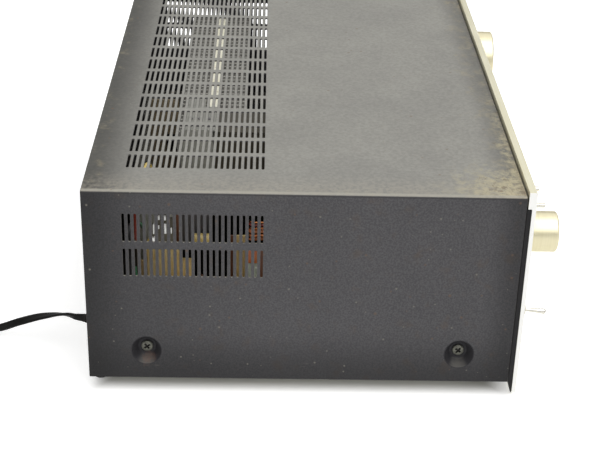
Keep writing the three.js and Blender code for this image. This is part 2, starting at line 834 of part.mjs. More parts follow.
function sinkRail() {
  return block(rail_inset, sink_length - sink_fin_pitch, -rail_width / 2, rail_width / 2,
    seat_gap, seat_gap + rail_sheet);
}
add('heat_sink_rail', sinkRail(), cream_strip, from_left(sink_from_left), behind_rear(sink_setback), sink_top);

// Power modules, one for each channel, flat against the front fins of the heat sink
const module_y = behind_rear(sink_setback + sink_depth / 2 + seat_gap);
['left', 'right'].forEach((hand, i) => {
  const x = from_left(sink_from_left + module_shares[i] * sink_length);
  const body = block(-module_width / 2, module_width / 2, -module_depth, 0, 0, module_height);
  add(`power_module_${hand}`, body, black_plastic, x, module_y, floor_plate_top + module_lift);
});

// Power transformer: laminations on the floor plate, and a winding through their window
const window_height = winding_height - 2 * seat_gap;
const core_leg = (core_height - winding_height) / 2;

function transformerCore() {
  const body = block(-core_width / 2, core_width / 2, -core_depth / 2, core_depth / 2, 0, core_height);
  const half = winding_width / 2 + seat_gap;
  const window_hole = block(-half, half, -core_depth, core_depth, core_leg - seat_gap, core_height - core_leg + seat_gap);
  return cut(body, window_hole);
}
const transformer_x = from_left(transformer_from_left);
const transformer_y = behind_rear(transformer_setback);
add('transformer_core', transformerCore(), black_steel, transformer_x, transformer_y, floor_plate_top + seat_gap);
add('transformer_winding',
  block(-winding_width / 2, winding_width / 2, -winding_depth / 2, winding_depth / 2, 0, window_height),
  orange_tape, transformer_x, transformer_y, floor_plate_top + seat_gap + core_leg);

// Smoothing capacitors
function capacitor() {
  return turned([
    [0, 0], [can_radius, 0], [can_radius, can_height - 2 * can_bead],
    [can_radius - can_bead, can_height - can_bead], [can_radius - can_bead, can_height], [0, can_height],
  ]).rotateX(Math.PI / 2);
}
['left', 'right'].forEach((hand, i) =>
  add(`filter_capacitor_${hand}`, capacitor(), can_sleeve, from_left(can_from_left + i * can_pitch),
    behind_rear(can_setback), floor_plate_top + seat_gap));

// Boards and the relay
const board = (width, depth) => block(0, width, -depth, 0, 0, board_sheet);
add('power_board', board(power_board_width, power_board_depth), phenolic,
  from_left(power_board_from_left), behind_rear(power_board_setback), board_z);
add('preamp_board', board(preamp_board_width, preamp_board_depth), phenolic,
  from_left(preamp_board_from_left), behind_rear(preamp_board_setback), board_z);
add('speaker_relay', block(-relay_width / 2, relay_width / 2, -relay_depth / 2, relay_depth / 2, 0, relay_height),
  yellow_case, from_left(relay_from_left), behind_rear(relay_setback), board_z + board_sheet + seat_gap);

// Strain relief: a flange and neck in the rear panel, and a tapered boot that swings to one side
const relief_swing = radians(relief_swing_degrees);
const relief_away = new THREE.Vector3(Math.sin(relief_swing), Math.cos(relief_swing), 0);
const relief_tip = new THREE.Vector3(relief_place[0], fitting_y, relief_place[1])
  .addScaledVector(relief_away, relief_length);

function strainRelief() {
  const neck = turned([
    [0, -relief_inner_length], [relief_inner_radius, -relief_inner_length],
    [relief_neck_radius, -rear_sheet - 2 * seat_gap], [relief_neck_radius, relief_flange / 2],
    [0, relief_flange / 2],
  ]);
  const flange = rod(relief_flange_radius, 0, relief_flange);
  const boot = turned([
    [0, relief_flange / 2], [relief_root_radius, relief_flange / 2],
    [relief_tip_radius, relief_length], [0, relief_length],
  ], small_facets).rotateZ(-relief_swing);
  return join(neck, flange, boot);
}
add('cord_strain_relief', strainRelief(), black_rubber, relief_place[0], fitting_y, relief_place[1]);

// Mains cord: a flat section carried through ring centres, its width along a given direction
class RibbonPath extends THREE.Curve {
  constructor(points, widthways) {
    super();
    this.points = points;
    this.widthways = widthways;
  }

  getSpacedPoints() {
    return this.points;
  }

  computeFrenetFrames() {
    const frames = { tangents: [], normals: [], binormals: [] };
    this.points.forEach((point, i) => {
      const before = this.points[Math.max(i - 1, 0)];
      const after = this.points[Math.min(i + 1, this.points.length - 1)];
      const tangent = after.clone().sub(before).normalize();
      const normal = this.widthways(i / (this.points.length - 1)).projectOnPlane(tangent).normalize();
      frames.tangents.push(tangent);
      frames.normals.push(normal);
      frames.binormals.push(new THREE.Vector3().crossVectors(tangent, normal));
    });
    return frames;
  }
}

/** The flat section: cord_width along x and cord_thickness along y, with its edges drawn in. */
function cordSection(corners) {
  const reach = cord_width / 2;
  const rise = cord_thickness / 2;
  const shoulder = reach - rise / 2;
  const edge = corners === cord_corners ? [[reach, rise / 2], [reach, -rise / 2]] : [[reach, 0]];
  const outline = [
    ...edge, [shoulder, -rise], [-shoulder, -rise],
    ...edge.map(([x, y]) => [-x, y]).reverse(), [-shoulder, rise], [shoulder, rise],
  ];
  return outline.map(([x, y]) => new THREE.Vector2(x, y));
}

function flatTube(points, widthways, corners) {
  return closed(new THREE.ExtrudeGeometry(new THREE.Shape(cordSection(corners)), {
    steps: points.length - 1, extrudePath: new RibbonPath(points, widthways), bevelEnabled: false,
  }));
}

// Coil: spirals in on the lower layer and out again on the upper one, its width upright
const coil_centre = new THREE.Vector3(from_left(coil_from_left), rear_y + coil_behind, 0);
const coil_low = coil_lift + cord_width / 2;
const layer_pitch = cord_width + coil_layer_gap;
const turn_pitch = cord_thickness + coil_turn_gap;
const turns_inward = coil_turns / 2;
const coil_outer = coil_mean_radius + (turns_inward / 2) * turn_pitch;
const coilRadius = (turn) => coil_outer - Math.min(turn, coil_turns - turn) * turn_pitch;
const upright = () => new THREE.Vector3(0, 0, 1);

/** The point of the coil at a number of turns from its start. */
function coilPoint(turn) {
  const radius = coilRadius(turn);
  const climb = THREE.MathUtils.smoothstep(turn, turns_inward - climb_share, turns_inward + climb_share);
  const angle = Math.PI - turn * 2 * Math.PI;
  return new THREE.Vector3(
    coil_centre.x + radius * Math.cos(angle),
    coil_centre.y + radius * Math.sin(angle),
    coil_low + climb * layer_pitch,
  );
}

const coil_steps = Math.round(coil_turns * steps_per_turn);
const coil_loops = Array.from({ length: coil_steps + 1 }, (_, i) => coilPoint(i / steps_per_turn));
const coil_start = coil_loops[0].clone().setY(coil_loops[0].y - cord_width);
const coil_end = coil_loops[coil_steps].clone().setX(coil_loops[coil_steps].x + coil_run_out);
const coil_points = [coil_start, ...coil_loops, coil_end];

/** The least distance between points of the coil's surface that are more than half a turn apart. */
function leastCoilGap() {
  const rings = coil_points.map((point) => {
    const away = point.clone().sub(coil_centre).setZ(0).normalize();
    return cordSection(coil_corners).map((corner) =>
      point.clone().addScaledVector(away, corner.y).setZ(point.z + corner.x));
  });
  let least = Infinity;
  for (let i = 0; i < rings.length; i++) {
    for (let j = i + steps_per_turn / 2; j < rings.length; j++) {
      if (coil_points[i].distanceTo(coil_points[j]) > 2 * cord_width) continue;
      for (const p of rings[i]) {
        for (const q of rings[j]) least = Math.min(least, p.distanceTo(q));
      }
    }
  }
  return least;
}
console.log(`cord coil: least gap to itself ${leastCoilGap().toFixed(2)} mm`);
add('cord_coil', flatTube(coil_points, upright, coil_corners), black_rubber);

// The free stretch: straight out of the boot, down to the floor, and straight into the coil
const cord_exit = relief_tip.clone().addScaledVector(relief_away, seat_gap);
const cord_entry = coil_start.clone().setY(coil_start.y - seat_gap);
const cord_route = [
  cord_exit.clone().addScaledVector(relief_away, cord_width),
  new THREE.Vector3(-159.7, 178.4, 25.7),
  new THREE.Vector3(-158.3, 185.6, 25.2),
  new THREE.Vector3(-157, 192, 23.7),
  new THREE.Vector3(-155.1, 201.7, 20.8),
  new THREE.Vector3(-152.1, 216.7, 14.5),
  new THREE.Vector3(-149, 231.9, 7.3),
  new THREE.Vector3(-145.5, 246, 3.8),
  new THREE.Vector3(-141, 257, 3.9),
  cord_entry.clone().setY(cord_entry.y - cord_width),
];
const cord_line = new THREE.CatmullRomCurve3(cord_route, false, 'centripetal');
const cord_steps = Math.round(cord_line.getLength() / (cord_step_share * cord_width));
const cord_points = [cord_exit, ...cord_line.getSpacedPoints(cord_steps), cord_entry];
const [first_twist, last_twist] = [radians(cord_first_twist_degrees), radians(cord_last_twist_degrees)];

/** The direction of the cord's width: it turns over once between the boot and the coil. */
function cordWidthways(share) {
  const twist = first_twist + (last_twist - first_twist) * (1 - (1 - share) ** cord_twist_power);
  return new THREE.Vector3(Math.cos(twist), 0, Math.sin(twist));
}
add('power_cord', flatTube(cord_points, cordWidthways, cord_corners), black_rubber);

const lengthOf = (points) => points.slice(1).reduce((sum, point, i) => sum + point.distanceTo(points[i]), 0);
console.log(`cord: ${lengthOf(cord_points).toFixed(1)} mm free, ${lengthOf(coil_points).toFixed(1)} mm in the coil`);

// Tie round the coil's turns on the side that faces the case
function cordTie() {
  const radii = Array.from({ length: Math.floor(coil_turns) }, (_, i) => coilRadius(i + tie_turn_share));
  const reach = cord_thickness / 2 + tie_clearance;
  const far = -Math.max(...radii) - reach;
  const near = -Math.min(...radii) + reach;
  const low = coil_lift - seat_gap;
  const high = coil_lift + layer_pitch + cord_width + seat_gap;
  const half = tie_width / 2;
  const loop = block(-half, half, far - tie_sheet, near + tie_sheet, low - tie_sheet, high + tie_sheet);
  return cut(loop, block(-tie_width, tie_width, far, near, low, high));
}
add('cord_tie', cordTie(), black_plastic, coil_centre.x, coil_centre.y, 0);

// Plug with two flat blades, lying on the floor
function plug() {
  const half = plug_width / 2;
  const neck = plug_neck / 2;
  const body = block(plug_shoulder, plug_length, -half, half, 0, plug_height);
  const entry = block(0, plug_shoulder * 2, -neck, neck, coil_end.z - neck, coil_end.z + neck);
  const blades = [-1, 1].map((side) => {
    const y = side * blade_pitch / 2;
    const [low, high] = [(plug_height - blade_height) / 2, (plug_height + blade_height) / 2];
    return block(plug_length / 2, plug_length + blade_length, y - blade_thickness / 2, y + blade_thickness / 2,
      low, high);
  });
  return join(body, entry, ...blades);
}
add('mains_plug', plug(), black_plastic, coil_end.x + seat_gap, coil_end.y, 0);

export default amplifier;
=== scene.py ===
"""Integrated amplifier: the fine shape and finish of every piece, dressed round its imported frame.

Shapes are worked out in millimetres in the frame's own axes: +Z is up, the front panel faces -Y,
and +X is to the right of someone facing the front. A piece is written to its mesh in metres.
"""
import math

import bmesh
import bpy
import numpy as np
from mathutils import Matrix, Vector
from mathutils.geometry import delaunay_2d_cdt


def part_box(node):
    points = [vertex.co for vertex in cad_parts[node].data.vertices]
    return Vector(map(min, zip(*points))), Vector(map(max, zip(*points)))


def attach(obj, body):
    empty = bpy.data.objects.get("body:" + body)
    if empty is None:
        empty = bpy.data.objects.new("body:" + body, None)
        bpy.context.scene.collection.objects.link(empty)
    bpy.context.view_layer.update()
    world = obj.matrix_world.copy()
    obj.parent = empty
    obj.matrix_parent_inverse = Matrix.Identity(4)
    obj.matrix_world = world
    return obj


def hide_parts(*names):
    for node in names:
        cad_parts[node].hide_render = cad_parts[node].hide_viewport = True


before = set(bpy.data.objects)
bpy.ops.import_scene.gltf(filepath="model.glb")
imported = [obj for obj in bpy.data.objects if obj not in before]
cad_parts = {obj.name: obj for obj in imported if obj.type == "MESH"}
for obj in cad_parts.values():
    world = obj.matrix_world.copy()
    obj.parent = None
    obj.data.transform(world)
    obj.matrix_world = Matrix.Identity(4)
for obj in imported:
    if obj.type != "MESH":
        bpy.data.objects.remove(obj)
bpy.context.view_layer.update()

MM = 0.001
TAU = 2 * math.pi
WELD_DIGITS = 4
UP, BACK, FORWARD = (0, 0, 1), (0, 1, 0), (0, -1, 0)
SHARP_ANGLE = 32
WIRE_STEPS = 8
WIRE_SIDES = 8

# Camera, solved from the case's edges and the two grids of slots
CAMERA_PLACE = (-1.03703, 0.03540, 0.56143)
CAMERA_RIGHT = (-0.014503, -0.999576, 0.025251)
CAMERA_UP = (0.463461, 0.015656, 0.885979)
CAMERA_LENS = 83.733
SENSOR_WIDTH = 36

# Light: an even white room, a broad soft lamp overhead, and two dim sheets of light inside the case
ROOM_LEVEL = 0.52
LAMP_LEVEL = 1.5
INSIDE_LEVEL = 0.55
LAMP_TILT = (math.radians(14), math.radians(-24), 0)
LAMP_SPREAD = math.radians(70)
FLOOR_SIZE = 14000
FLOOR_DROP = 0.1
# The floor's painted shadow colour under the case, and its open colour
FLOOR_PAINTED_SHADOW = (0.34, 0.335, 0.32)
FLOOR_OPEN = (0.92, 0.92, 0.91)
FLOOR_BOUNCE = (0.55, 0.55, 0.54)
FLOOR_SEEN = 0.50
FLOOR_SHINE = 0.56
BAND_MIDDLE = 0.2
BAND_EDGE = (0.04, 0.24)

# Cover, in the sizes of its sheet
SHEET = 1.2
BEND = 1.9
BEND_STEPS = 10
SLOT_COLUMNS = 24
SLOT_PITCH = 4.0
SLOT_WIDTH = 1.8
SLOT_LENGTH = 20.9
SLOT_LAND = 5.3
SLOT_SETBACK = 27.3
SIDE_SLOT_DROP = 16.3
SIDE_ROWS = 2
TOP_ROWS = 14
SLOT_EASE = 0.22
SLOT_END_STEPS = 5
WELL_RADIUS = 11.0
WELL_FLOOR_RADIUS = 6.6
WELL_DEPTH = 7.0
WELL_LIP = 0.5
WELL_SQUEEZE = 0.93
WELL_SIDES = 56
WELL_SETBACKS = (40.4, 257.8)
WELL_RISE = 22.5
SHANK_HOLE = 2.2
EDGE_MARK = 0.6
SLOT_MARK = 1.0
WELL_MARK = -1.0

# Screw heads
HEAD_RADIUS = 4.0
HEAD_HEIGHT = 1.9
HEAD_SIDES = 72
PANEL_HEAD = (2.9, 1.3)
CROSS_LENGTH = 4.6
CROSS_WIDTH = 1.15
CROSS_DEPTH = 1.3
CROSS_SLOPE = 0.07
HEAD_LINE = (0.68, 0.02, 0.05)

# Controls: radius and length of each knob, and its marks' reach in degrees with their number
CONTROLS = {
    "speaker": (14.3, 23.0), "bass": (10.0, 14.0), "treble": (10.0, 14.0), "input": (14.3, 19.0),
    "volume": (23.4, 23.0),
}
DIALS = {"speaker": (60, 4), "bass": (140, 11), "treble": (140, 11), "input": (60, 5), "volume": (150, 21)}
KNOB_SIDES = 96
KNOB_CHAMFER = 0.9
DIAL_LIFT = 0.06
DIAL_GAP = 2.2
DIAL_STROKE = 2.8
POINTER_WIDTH = 1.1
LEVER_LENGTH = 21.2
LEVER_TILT = math.radians(6)
LEVER_BALL = 2.6
THREAD_TURNS = 12
THREAD_DEPTH = 0.18
THREAD_PITCH = 0.45

# Rear fittings
JACK_COLUMNS = 4
JACK_PITCH = (26.0, 9.5)
TAB_PIN = (163.6, 60.0)
TAB_LEAN = math.radians(6)
TAB_RIBS = 4

# Mains cord, flat with two cores
CORD_WIDTH = 5.8
CORD_THICKNESS = 2.6
CORD_GROOVE = 0.3
CORD_GROOVE_WIDTH = 0.16
CORD_FULLNESS = 0.8
CORD_SIDES = 22
RELIEF_SWING = math.radians(11.5)
RELIEF_LENGTH = 11.5
RELIEF_INNER = 12
RELIEF_RIB = 0.32
RELIEF_RIBS = 4.5
FIRST_TWIST = math.radians(-110)
LAST_TWIST = math.radians(90)
TWIST_POWER = 4
COIL_CENTRE = (-92.0, 299.1)
COIL_TURNS = 8.25
COIL_OUTER = 40.86875
COIL_TURN_PITCH = 4.3
COIL_LOW = 4.1
COIL_LAYER_PITCH = 6.5
COIL_CLIMB = 0.2
COIL_RUN_OUT = 26
TIE_SHEET = 0.7
TOUCH = 0.3

# Mains plug
BLADE_LENGTH = 17.0
BLADE_SPACING = 6.35
PLUG_SIDES = 48
PLUG_STOPS = (0, 0.02, 0.1, 0.2, 0.24, 0.3, 0.4, 0.5, 0.6, 0.7, 0.8, 0.9, 0.97, 1.0)
PLUG_GRIPS = (0.62, 0.72, 0.82)
PLUG_END_EASE = 0.8
PLUG_NECK = 5.3
PLUG_HALF = (11.9, 9.9)
PLUG_CENTRE_Z = (10.6, 10.0)

# Parts inside: the small parts' random start and numbers, and for those that are blocks half their width,
# half their depth, their foot, their height and their ease
BOARD_SEED = 7
BOARD_COUNTS = {"power_board": 120, "preamp_board": 150}
CAN, AMBER_FILM, BROWN_FILM, TRANSISTOR, RESISTOR = range(5)
BLOCK_SIZES = {
    AMBER_FILM: (3.6, 1.7, 0.4, 7.5, 1.1),
    BROWN_FILM: (3.8, 1.3, 0.4, 8.0, 0.8),
    TRANSISTOR: (2.4, 4.6, 0.6, 13.0, 0.5),
}
RESISTOR_RADIUS = 1.2

# Winding
WINDING_POWER = 7
RIDGE_PITCH = 1.4
RIDGE_DEPTH = 0.006


class Shape:
    """Points with four- and three-cornered faces, wound so that they face outwards."""

    def __init__(self, points, quads=(), tris=(), quad_marks=None, tri_marks=None):
        """Faces are rows of point numbers, and marks are one value for each face."""
        self.points = np.asarray(points, float).reshape(-1, 3)
        self.quads = np.asarray(quads, int).reshape(-1, 4)
        self.tris = np.asarray(tris, int).reshape(-1, 3)
        self.quad_marks = np.zeros(len(self.quads)) if quad_marks is None else quad_marks
        self.tri_marks = np.zeros(len(self.tris)) if tri_marks is None else tri_marks

    def with_points(self, points):
        """The same faces on other points."""
        return Shape(points, self.quads, self.tris, self.quad_marks, self.tri_marks)

    def moved(self, x=0.0, y=0.0, z=0.0):
        """The shape shifted in millimetres."""
        return self.with_points(self.points + (x, y, z))

    def turned(self, rows, about=(0, 0, 0)):
        """The shape turned about a point by the rows of a matrix."""
        return self.with_points((self.points - about) @ np.asarray(rows, float).T + about)

    def flipped(self):
        """The shape with its faces wound the other way."""
        return Shape(self.points, self.quads[:, ::-1], self.tris[:, ::-1], self.quad_marks, self.tri_marks)

    def marked(self, mark):
        """The shape with one value on all its faces, which its material reads."""
        quad_marks, tri_marks = [np.full(len(faces), float(mark)) for faces in (self.quads, self.tris)]
        return Shape(self.points, self.quads, self.tris, quad_marks, tri_marks)

    def welded(self):
        """Equal points made one; a face that loses a corner becomes a triangle or goes."""
        rounded = np.round(self.points, WELD_DIGITS)
        _, first, where = np.unique(rounded, axis=0, return_index=True, return_inverse=True)
        where = where.ravel()
        quads, tris = where[self.quads], where[self.tris]
        same = quads == np.roll(quads, -1, axis=1)
        whole, short = ~same.any(axis=1), same.sum(axis=1) == 1
        kept = ~same[short]
        tris = np.concatenate([tris, quads[short][kept].reshape(-1, 3)])
        tri_marks = np.concatenate([self.tri_marks, self.quad_marks[short]])
        sound = (tris != np.roll(tris, -1, axis=1)).all(axis=1)
        marks = (self.quad_marks[whole], tri_marks[sound])
        return Shape(self.points[first], quads[whole], tris[sound], *marks)


def together(*shapes):
    """One shape that holds all the given ones."""
    starts = np.cumsum([0] + [len(shape.points) for shape in shapes])
    return Shape(
        np.concatenate([shape.points for shape in shapes]),
        np.concatenate([shape.quads + start for shape, start in zip(shapes, starts)]),
        np.concatenate([shape.tris + start for shape, start in zip(shapes, starts)]),
        np.concatenate([shape.quad_marks for shape in shapes]),
        np.concatenate([shape.tri_marks for shape in shapes]),
    )


def grid(points, wrap_u=False, wrap_v=False):
    """A surface of two parameters: points[u, v], facing the way of its u step cross its v step."""
    count_u, count_v = points.shape[:2]
    index = np.arange(count_u * count_v).reshape(count_u, count_v)
    if wrap_u:
        index = np.concatenate([index, index[:1]])
    if wrap_v:
        index = np.concatenate([index, index[:, :1]], axis=1)
    quads = np.stack([index[:-1, :-1], index[1:, :-1], index[1:, 1:], index[:-1, 1:]], axis=-1)
    return Shape(points.reshape(-1, 3), quads.reshape(-1, 4))


def turns(count):
    """Even steps of a whole turn."""
    return np.linspace(0, TAU, count, endpoint=False)


def smooth_step(share):
    """The share s kept between 0 and 1 and drawn smooth: s s (3 - 2 s)."""
    share = np.clip(share, 0, 1)
    return share * share * (3 - 2 * share)


def squarish(turn, power):
    """Cosine, sine and reach of a rounded square: reach = (|cos| ^ p + |sin| ^ p) ^ (-1 / p)."""
    c, s = np.cos(turn), np.sin(turn)
    return c, s, (np.abs(c) ** power + np.abs(s) ** power) ** (-1 / power)


def axes_about(along):
    """Two unit directions square to a given one; the first cross the second points along it."""
    along = np.asarray(along, float) / np.linalg.norm(along)
    level = np.array([1.0, 0, 0]) if abs(along[0]) < 0.9 else np.array([0, 1.0, 0])
    first = level - along * (level @ along)
    first /= np.linalg.norm(first)
    return first, np.cross(along, first), along


def lathe(profile, place=(0, 0, 0), along=(0, 0, 1), sides=48, flutes=0, flute_depth=0.0, closed=False):
    """A surface of turn a and profile step k: place + r cos a, r sin a across the axis and h along it.

    The profile's (r, h) pairs run up on the outside; flutes draw r in by a share of a cosine of the turn.
    """
    r, h = np.asarray(profile, float).T
    turn = turns(sides)[:, None]
    radius = r[None, :] - flute_depth * (0.5 - 0.5 * np.cos(flutes * turn)) * (r[None, :] > 0)
    first, second, along = axes_about(along)
    across = np.cos(turn)[..., None] * first + np.sin(turn)[..., None] * second
    points = np.asarray(place, float) + radius[..., None] * across + (h[:, None] * along)[None]
    return grid(points, wrap_u=True, wrap_v=closed).welded()


def eased(outline, radius, steps=3, closed=False):
    """The outline with each corner drawn round: a quadratic curve from radius before to radius after it."""
    points = np.asarray(outline, float)
    share = np.linspace(0, 1, steps + 1)[:, None]
    drawn = []
    for i, corner in enumerate(points):
        if not closed and i in (0, len(points) - 1):
            drawn.append(corner[None])
            continue
        back, on = points[i - 1] - corner, points[(i + 1) % len(points)] - corner
        back_length, on_length = np.linalg.norm(back), np.linalg.norm(on)
        reach = min(radius, 0.45 * back_length, 0.45 * on_length)
        start, end = corner + back * reach / back_length, corner + on * reach / on_length
        drawn.append((1 - share) ** 2 * start + 2 * share * (1 - share) * corner + share ** 2 * end)
    return np.concatenate(drawn)


def block(low, high, ease=0.5, steps=2):
    """A box with round edges: a cube's face points drawn in to the box that lies ease inside, and
    then set ease away from it again."""
    low, high = np.asarray(low, float), np.asarray(high, float)
    middle, half = (low + high) / 2, (high - low) / 2
    ease = min(ease, 0.49 * half.min() * 2)
    inner_half = half - ease
    turn = np.tan(np.linspace(0, math.pi / 4, steps + 1)) * ease
    sides = []
    for axis in range(3):
        a, b = (axis + 1) % 3, (axis + 2) % 3
        across = [np.concatenate([-inner_half[k] - turn[::-1], inner_half[k] + turn]) for k in (a, b)]
        for side in (-1, 1):
            points = np.zeros((len(across[0]), len(across[1]), 3))
            points[..., axis] = side * half[axis]
            points[..., a] = across[0][:, None]
            points[..., b] = across[1][None, :]
            inner = np.clip(points, -inner_half, inner_half)
            away = points - inner
            points = inner + away * ease / np.linalg.norm(away, axis=-1, keepdims=True) + middle
            sides.append(grid(points if side > 0 else points.swapaxes(0, 1)))
    return together(*sides).welded()


def swept(path, section, widthways, closed=False):
    """A section of (across, up) pairs carried along a path: path + across w + up t x w, where t is the
    path's direction and w the given width direction, made square to it."""
    path = np.asarray(path, float)
    if closed:
        along = np.roll(path, -1, axis=0) - np.roll(path, 1, axis=0)
    else:
        along = np.gradient(path, axis=0)
    along /= np.linalg.norm(along, axis=1, keepdims=True)
    width = np.broadcast_to(np.asarray(widthways, float), path.shape)
    width = width - along * (width * along).sum(axis=1, keepdims=True)
    width = width / np.linalg.norm(width, axis=1, keepdims=True)
    up = np.cross(along, width)
    section = np.asarray(section, float)
    points = path[None] + section[:, 0, None, None] * width[None] + section[:, 1, None, None] * up[None]
    if closed:
        return grid(points, wrap_u=True, wrap_v=True)
    ends = [np.broadcast_to(path[k], (len(section), 1, 3)) for k in (0, -1)]
    return grid(np.concatenate([ends[0], points, ends[1]], axis=1), wrap_u=True).welded()


def circle(radius, sides):
    """Points r cos a, r sin a at even turns a."""
    turn = turns(sides)
    return np.stack([radius * np.cos(turn), radius * np.sin(turn)], axis=1)


def wire(path, radius):
    """A round wire along a smooth curve through the given points."""
    line = smooth_line(np.asarray(path, float), WIRE_STEPS)
    along = line[-1] - line[0]
    return swept(line, circle(radius, WIRE_SIDES), axes_about(along)[0])


def smooth_line(points, steps):
    """A centripetal Catmull-Rom curve: between two points, the cubic whose end slopes follow from the
    square roots of the distances to their neighbours."""
    points = np.concatenate([[2 * points[0] - points[1]], points, [2 * points[-1] - points[-2]]])
    p0, p1, p2, p3 = points[:-3], points[1:-2], points[2:-1], points[3:]
    pairs = ((p0, p1), (p1, p2), (p2, p3))
    d0, d1, d2 = [np.sqrt(np.linalg.norm(b - a, axis=1, keepdims=True)) for a, b in pairs]
    slope1 = ((p1 - p0) / d0 - (p2 - p0) / (d0 + d1) + (p2 - p1) / d1) * d1
    slope2 = ((p2 - p1) / d1 - (p3 - p1) / (d1 + d2) + (p3 - p2) / d2) * d1
    t = np.linspace(0, 1, steps, endpoint=False)[None, :, None]
    p1, p2, slope1, slope2 = [a[:, None] for a in (p1, p2, slope1, slope2)]
    line = ((2 * t**3 - 3 * t**2 + 1) * p1 + (t**3 - 2 * t**2 + t) * slope1
            + (3 * t**2 - 2 * t**3) * p2 + (t**3 - t**2) * slope2)
    return np.concatenate([line.reshape(-1, 3), points[-2][None]])


def piece(name, shape, material, body="root", stands_for=(), sharp=SHARP_ANGLE):
    """Writes a shape to a mesh in metres, and sets it on its body."""
    mesh = bpy.data.meshes.new(name)
    mesh.vertices.add(len(shape.points))
    mesh.vertices.foreach_set("co", (shape.points * MM).ravel())
    corners = np.concatenate([shape.quads.ravel(), shape.tris.ravel()]).astype(np.int32)
    mesh.loops.add(len(corners))
    mesh.loops.foreach_set("vertex_index", corners)
    quad_starts = np.arange(len(shape.quads)) * 4
    tri_starts = len(shape.quads) * 4 + np.arange(len(shape.tris)) * 3
    mesh.polygons.add(len(shape.quads) + len(shape.tris))
    mesh.polygons.foreach_set("loop_start", np.concatenate([quad_starts, tri_starts]).astype(np.int32))
    mesh.update(calc_edges=True)
    marks = np.concatenate([shape.quad_marks, shape.tri_marks])
    if marks.any():
        layer = mesh.attributes.new("mark", "FLOAT", "FACE")
        layer.data.foreach_set("value", marks.astype(np.float32))
    return dressed(name, mesh, material, body, stands_for, sharp)


def dressed(name, mesh, material, body, stands_for, sharp):
    """A mesh made a piece: its material, its body and the nodes that it stands for."""
    mesh.polygons.foreach_set("use_smooth", np.ones(len(mesh.polygons), bool))
    mesh.set_sharp_from_angle(angle=math.radians(sharp))
    mesh.materials.append(material)
    made = bpy.data.objects.new(name, mesh)
    bpy.context.scene.collection.objects.link(made)
    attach(made, body)
    if stands_for:
        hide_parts(*stands_for)
    return made


def soft_copy(name, node, material, ease, body="root"):
    """A node's own solid with its corners merged, its flat faces whole and its edges rounded."""
    work = bmesh.new()
    work.from_mesh(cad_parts[node].data)
    bmesh.ops.remove_doubles(work, verts=work.verts, dist=1e-6)
    bmesh.ops.dissolve_limit(work, angle_limit=math.radians(1), verts=work.verts, edges=work.edges)
    mesh = bpy.data.meshes.new(name)
    work.to_mesh(mesh)
    work.free()
    made = dressed(name, mesh, material, body, (node,), SHARP_ANGLE)
    bevel = made.modifiers.new("soft_edges", "BEVEL")
    bevel.width = ease * MM
    bevel.segments = 2
    bevel.limit_method = "ANGLE"
    bevel.harden_normals = True
    return made


def box_mm(node):
    """A node's two far corners in millimetres."""
    low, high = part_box(node)
    return np.array(low) / MM, np.array(high) / MM


def rear_face(node, end=1):
    """The middle of a node's face at its rear, or with end 0 at its front, and the node's depth."""
    corners = box_mm(node)
    x, _, z = (corners[0] + corners[1]) / 2
    return np.array([x, corners[end][1], z]), corners[1][1] - corners[0][1]


case_low, case_high = box_mm("top_cover")
HALF_WIDTH = case_high[0]
CASE_BOTTOM, CASE_TOP = case_low[2], case_high[2]
FRONT_Y, REAR_Y = case_low[1], case_high[1]
PANEL_FRONT_Y = box_mm("front_panel")[0][1]
BOARD_TOP = box_mm("power_board")[1][2]
ON_BOARD = BOARD_TOP + TOUCH
ON_FLOOR = box_mm("transformer_core")[0][2]


# Material helpers

def add_node(tree, kind, sockets=None, **settings):
    """A shader node with its settings, and its sockets linked or given a value."""
    made = tree.nodes.new("ShaderNode" + kind)
    for key, value in settings.items():
        setattr(made, key, value)
    for socket, value in (sockets or {}).items():
        if isinstance(value, bpy.types.NodeSocket):
            tree.links.new(value, made.inputs[socket])
        else:
            made.inputs[socket].default_value = value
    return made


def new_group(name, inputs, outputs):
    """A node group with named inputs and outputs."""
    tree = bpy.data.node_groups.new(name, "ShaderNodeTree")
    for label, value in inputs.items():
        kind = "NodeSocketVector" if isinstance(value, tuple) else "NodeSocketFloat"
        tree.interface.new_socket(label, in_out="INPUT", socket_type=kind).default_value = value
    for label in outputs:
        tree.interface.new_socket(label, in_out="OUTPUT", socket_type="NodeSocketFloat")
    return tree, tree.nodes.new("NodeGroupInput").outputs, tree.nodes.new("NodeGroupOutput").inputs


def math_node(tree, operation, a, b=0.0, clamp=False):
    """One operation on one or two values."""
    return add_node(tree, "Math", {0: a, 1: b}, operation=operation, use_clamp=clamp).outputs[0]


def ramp(tree, value, start, end, low=0.0, high=1.0):
    """The value mapped from start..end to low..high by a smooth step."""
    return add_node(tree, "MapRange", {"Value": value, "From Min": start, "From Max": end, "To Min": low,
                                       "To Max": high}, interpolation_type="SMOOTHSTEP").outputs["Result"]


def mix_colour(tree, mask, first, second):
    """The first colour where the mask is 0 and the second where it is 1."""
    made = add_node(tree, "Mix", {0: mask}, data_type="RGBA")
    for socket, value in ((6, first), (7, second)):
        if isinstance(value, bpy.types.NodeSocket):
            tree.links.new(value, made.inputs[socket])
        else:
            made.inputs[socket].default_value = (*value, 1.0)
    return made.outputs[2]


def object_point(tree, stretch=None):
    """The point in the object's own axes, drawn out along each by a stretch."""
    point = add_node(tree, "TexCoord").outputs["Object"]
    if stretch is None:
        return point
    return add_node(tree, "VectorMath", {0: point, 1: stretch}, operation="MULTIPLY").outputs["Vector"]


def noise(tree, scale, detail, rough=0.5, stretch=None):
    """A noise in object space."""
    sockets = {"Vector": object_point(tree, stretch), "Scale": scale, "Detail": detail, "Roughness": rough}
    return add_node(tree, "TexNoise", sockets).outputs["Fac"]


def facing(tree, axis):
    """How far a face points along one of the object's axes, from -1 to 1."""
    normal = add_node(tree, "TexCoord").outputs["Normal"]
    return add_node(tree, "SeparateXYZ", {0: normal}).outputs[axis]


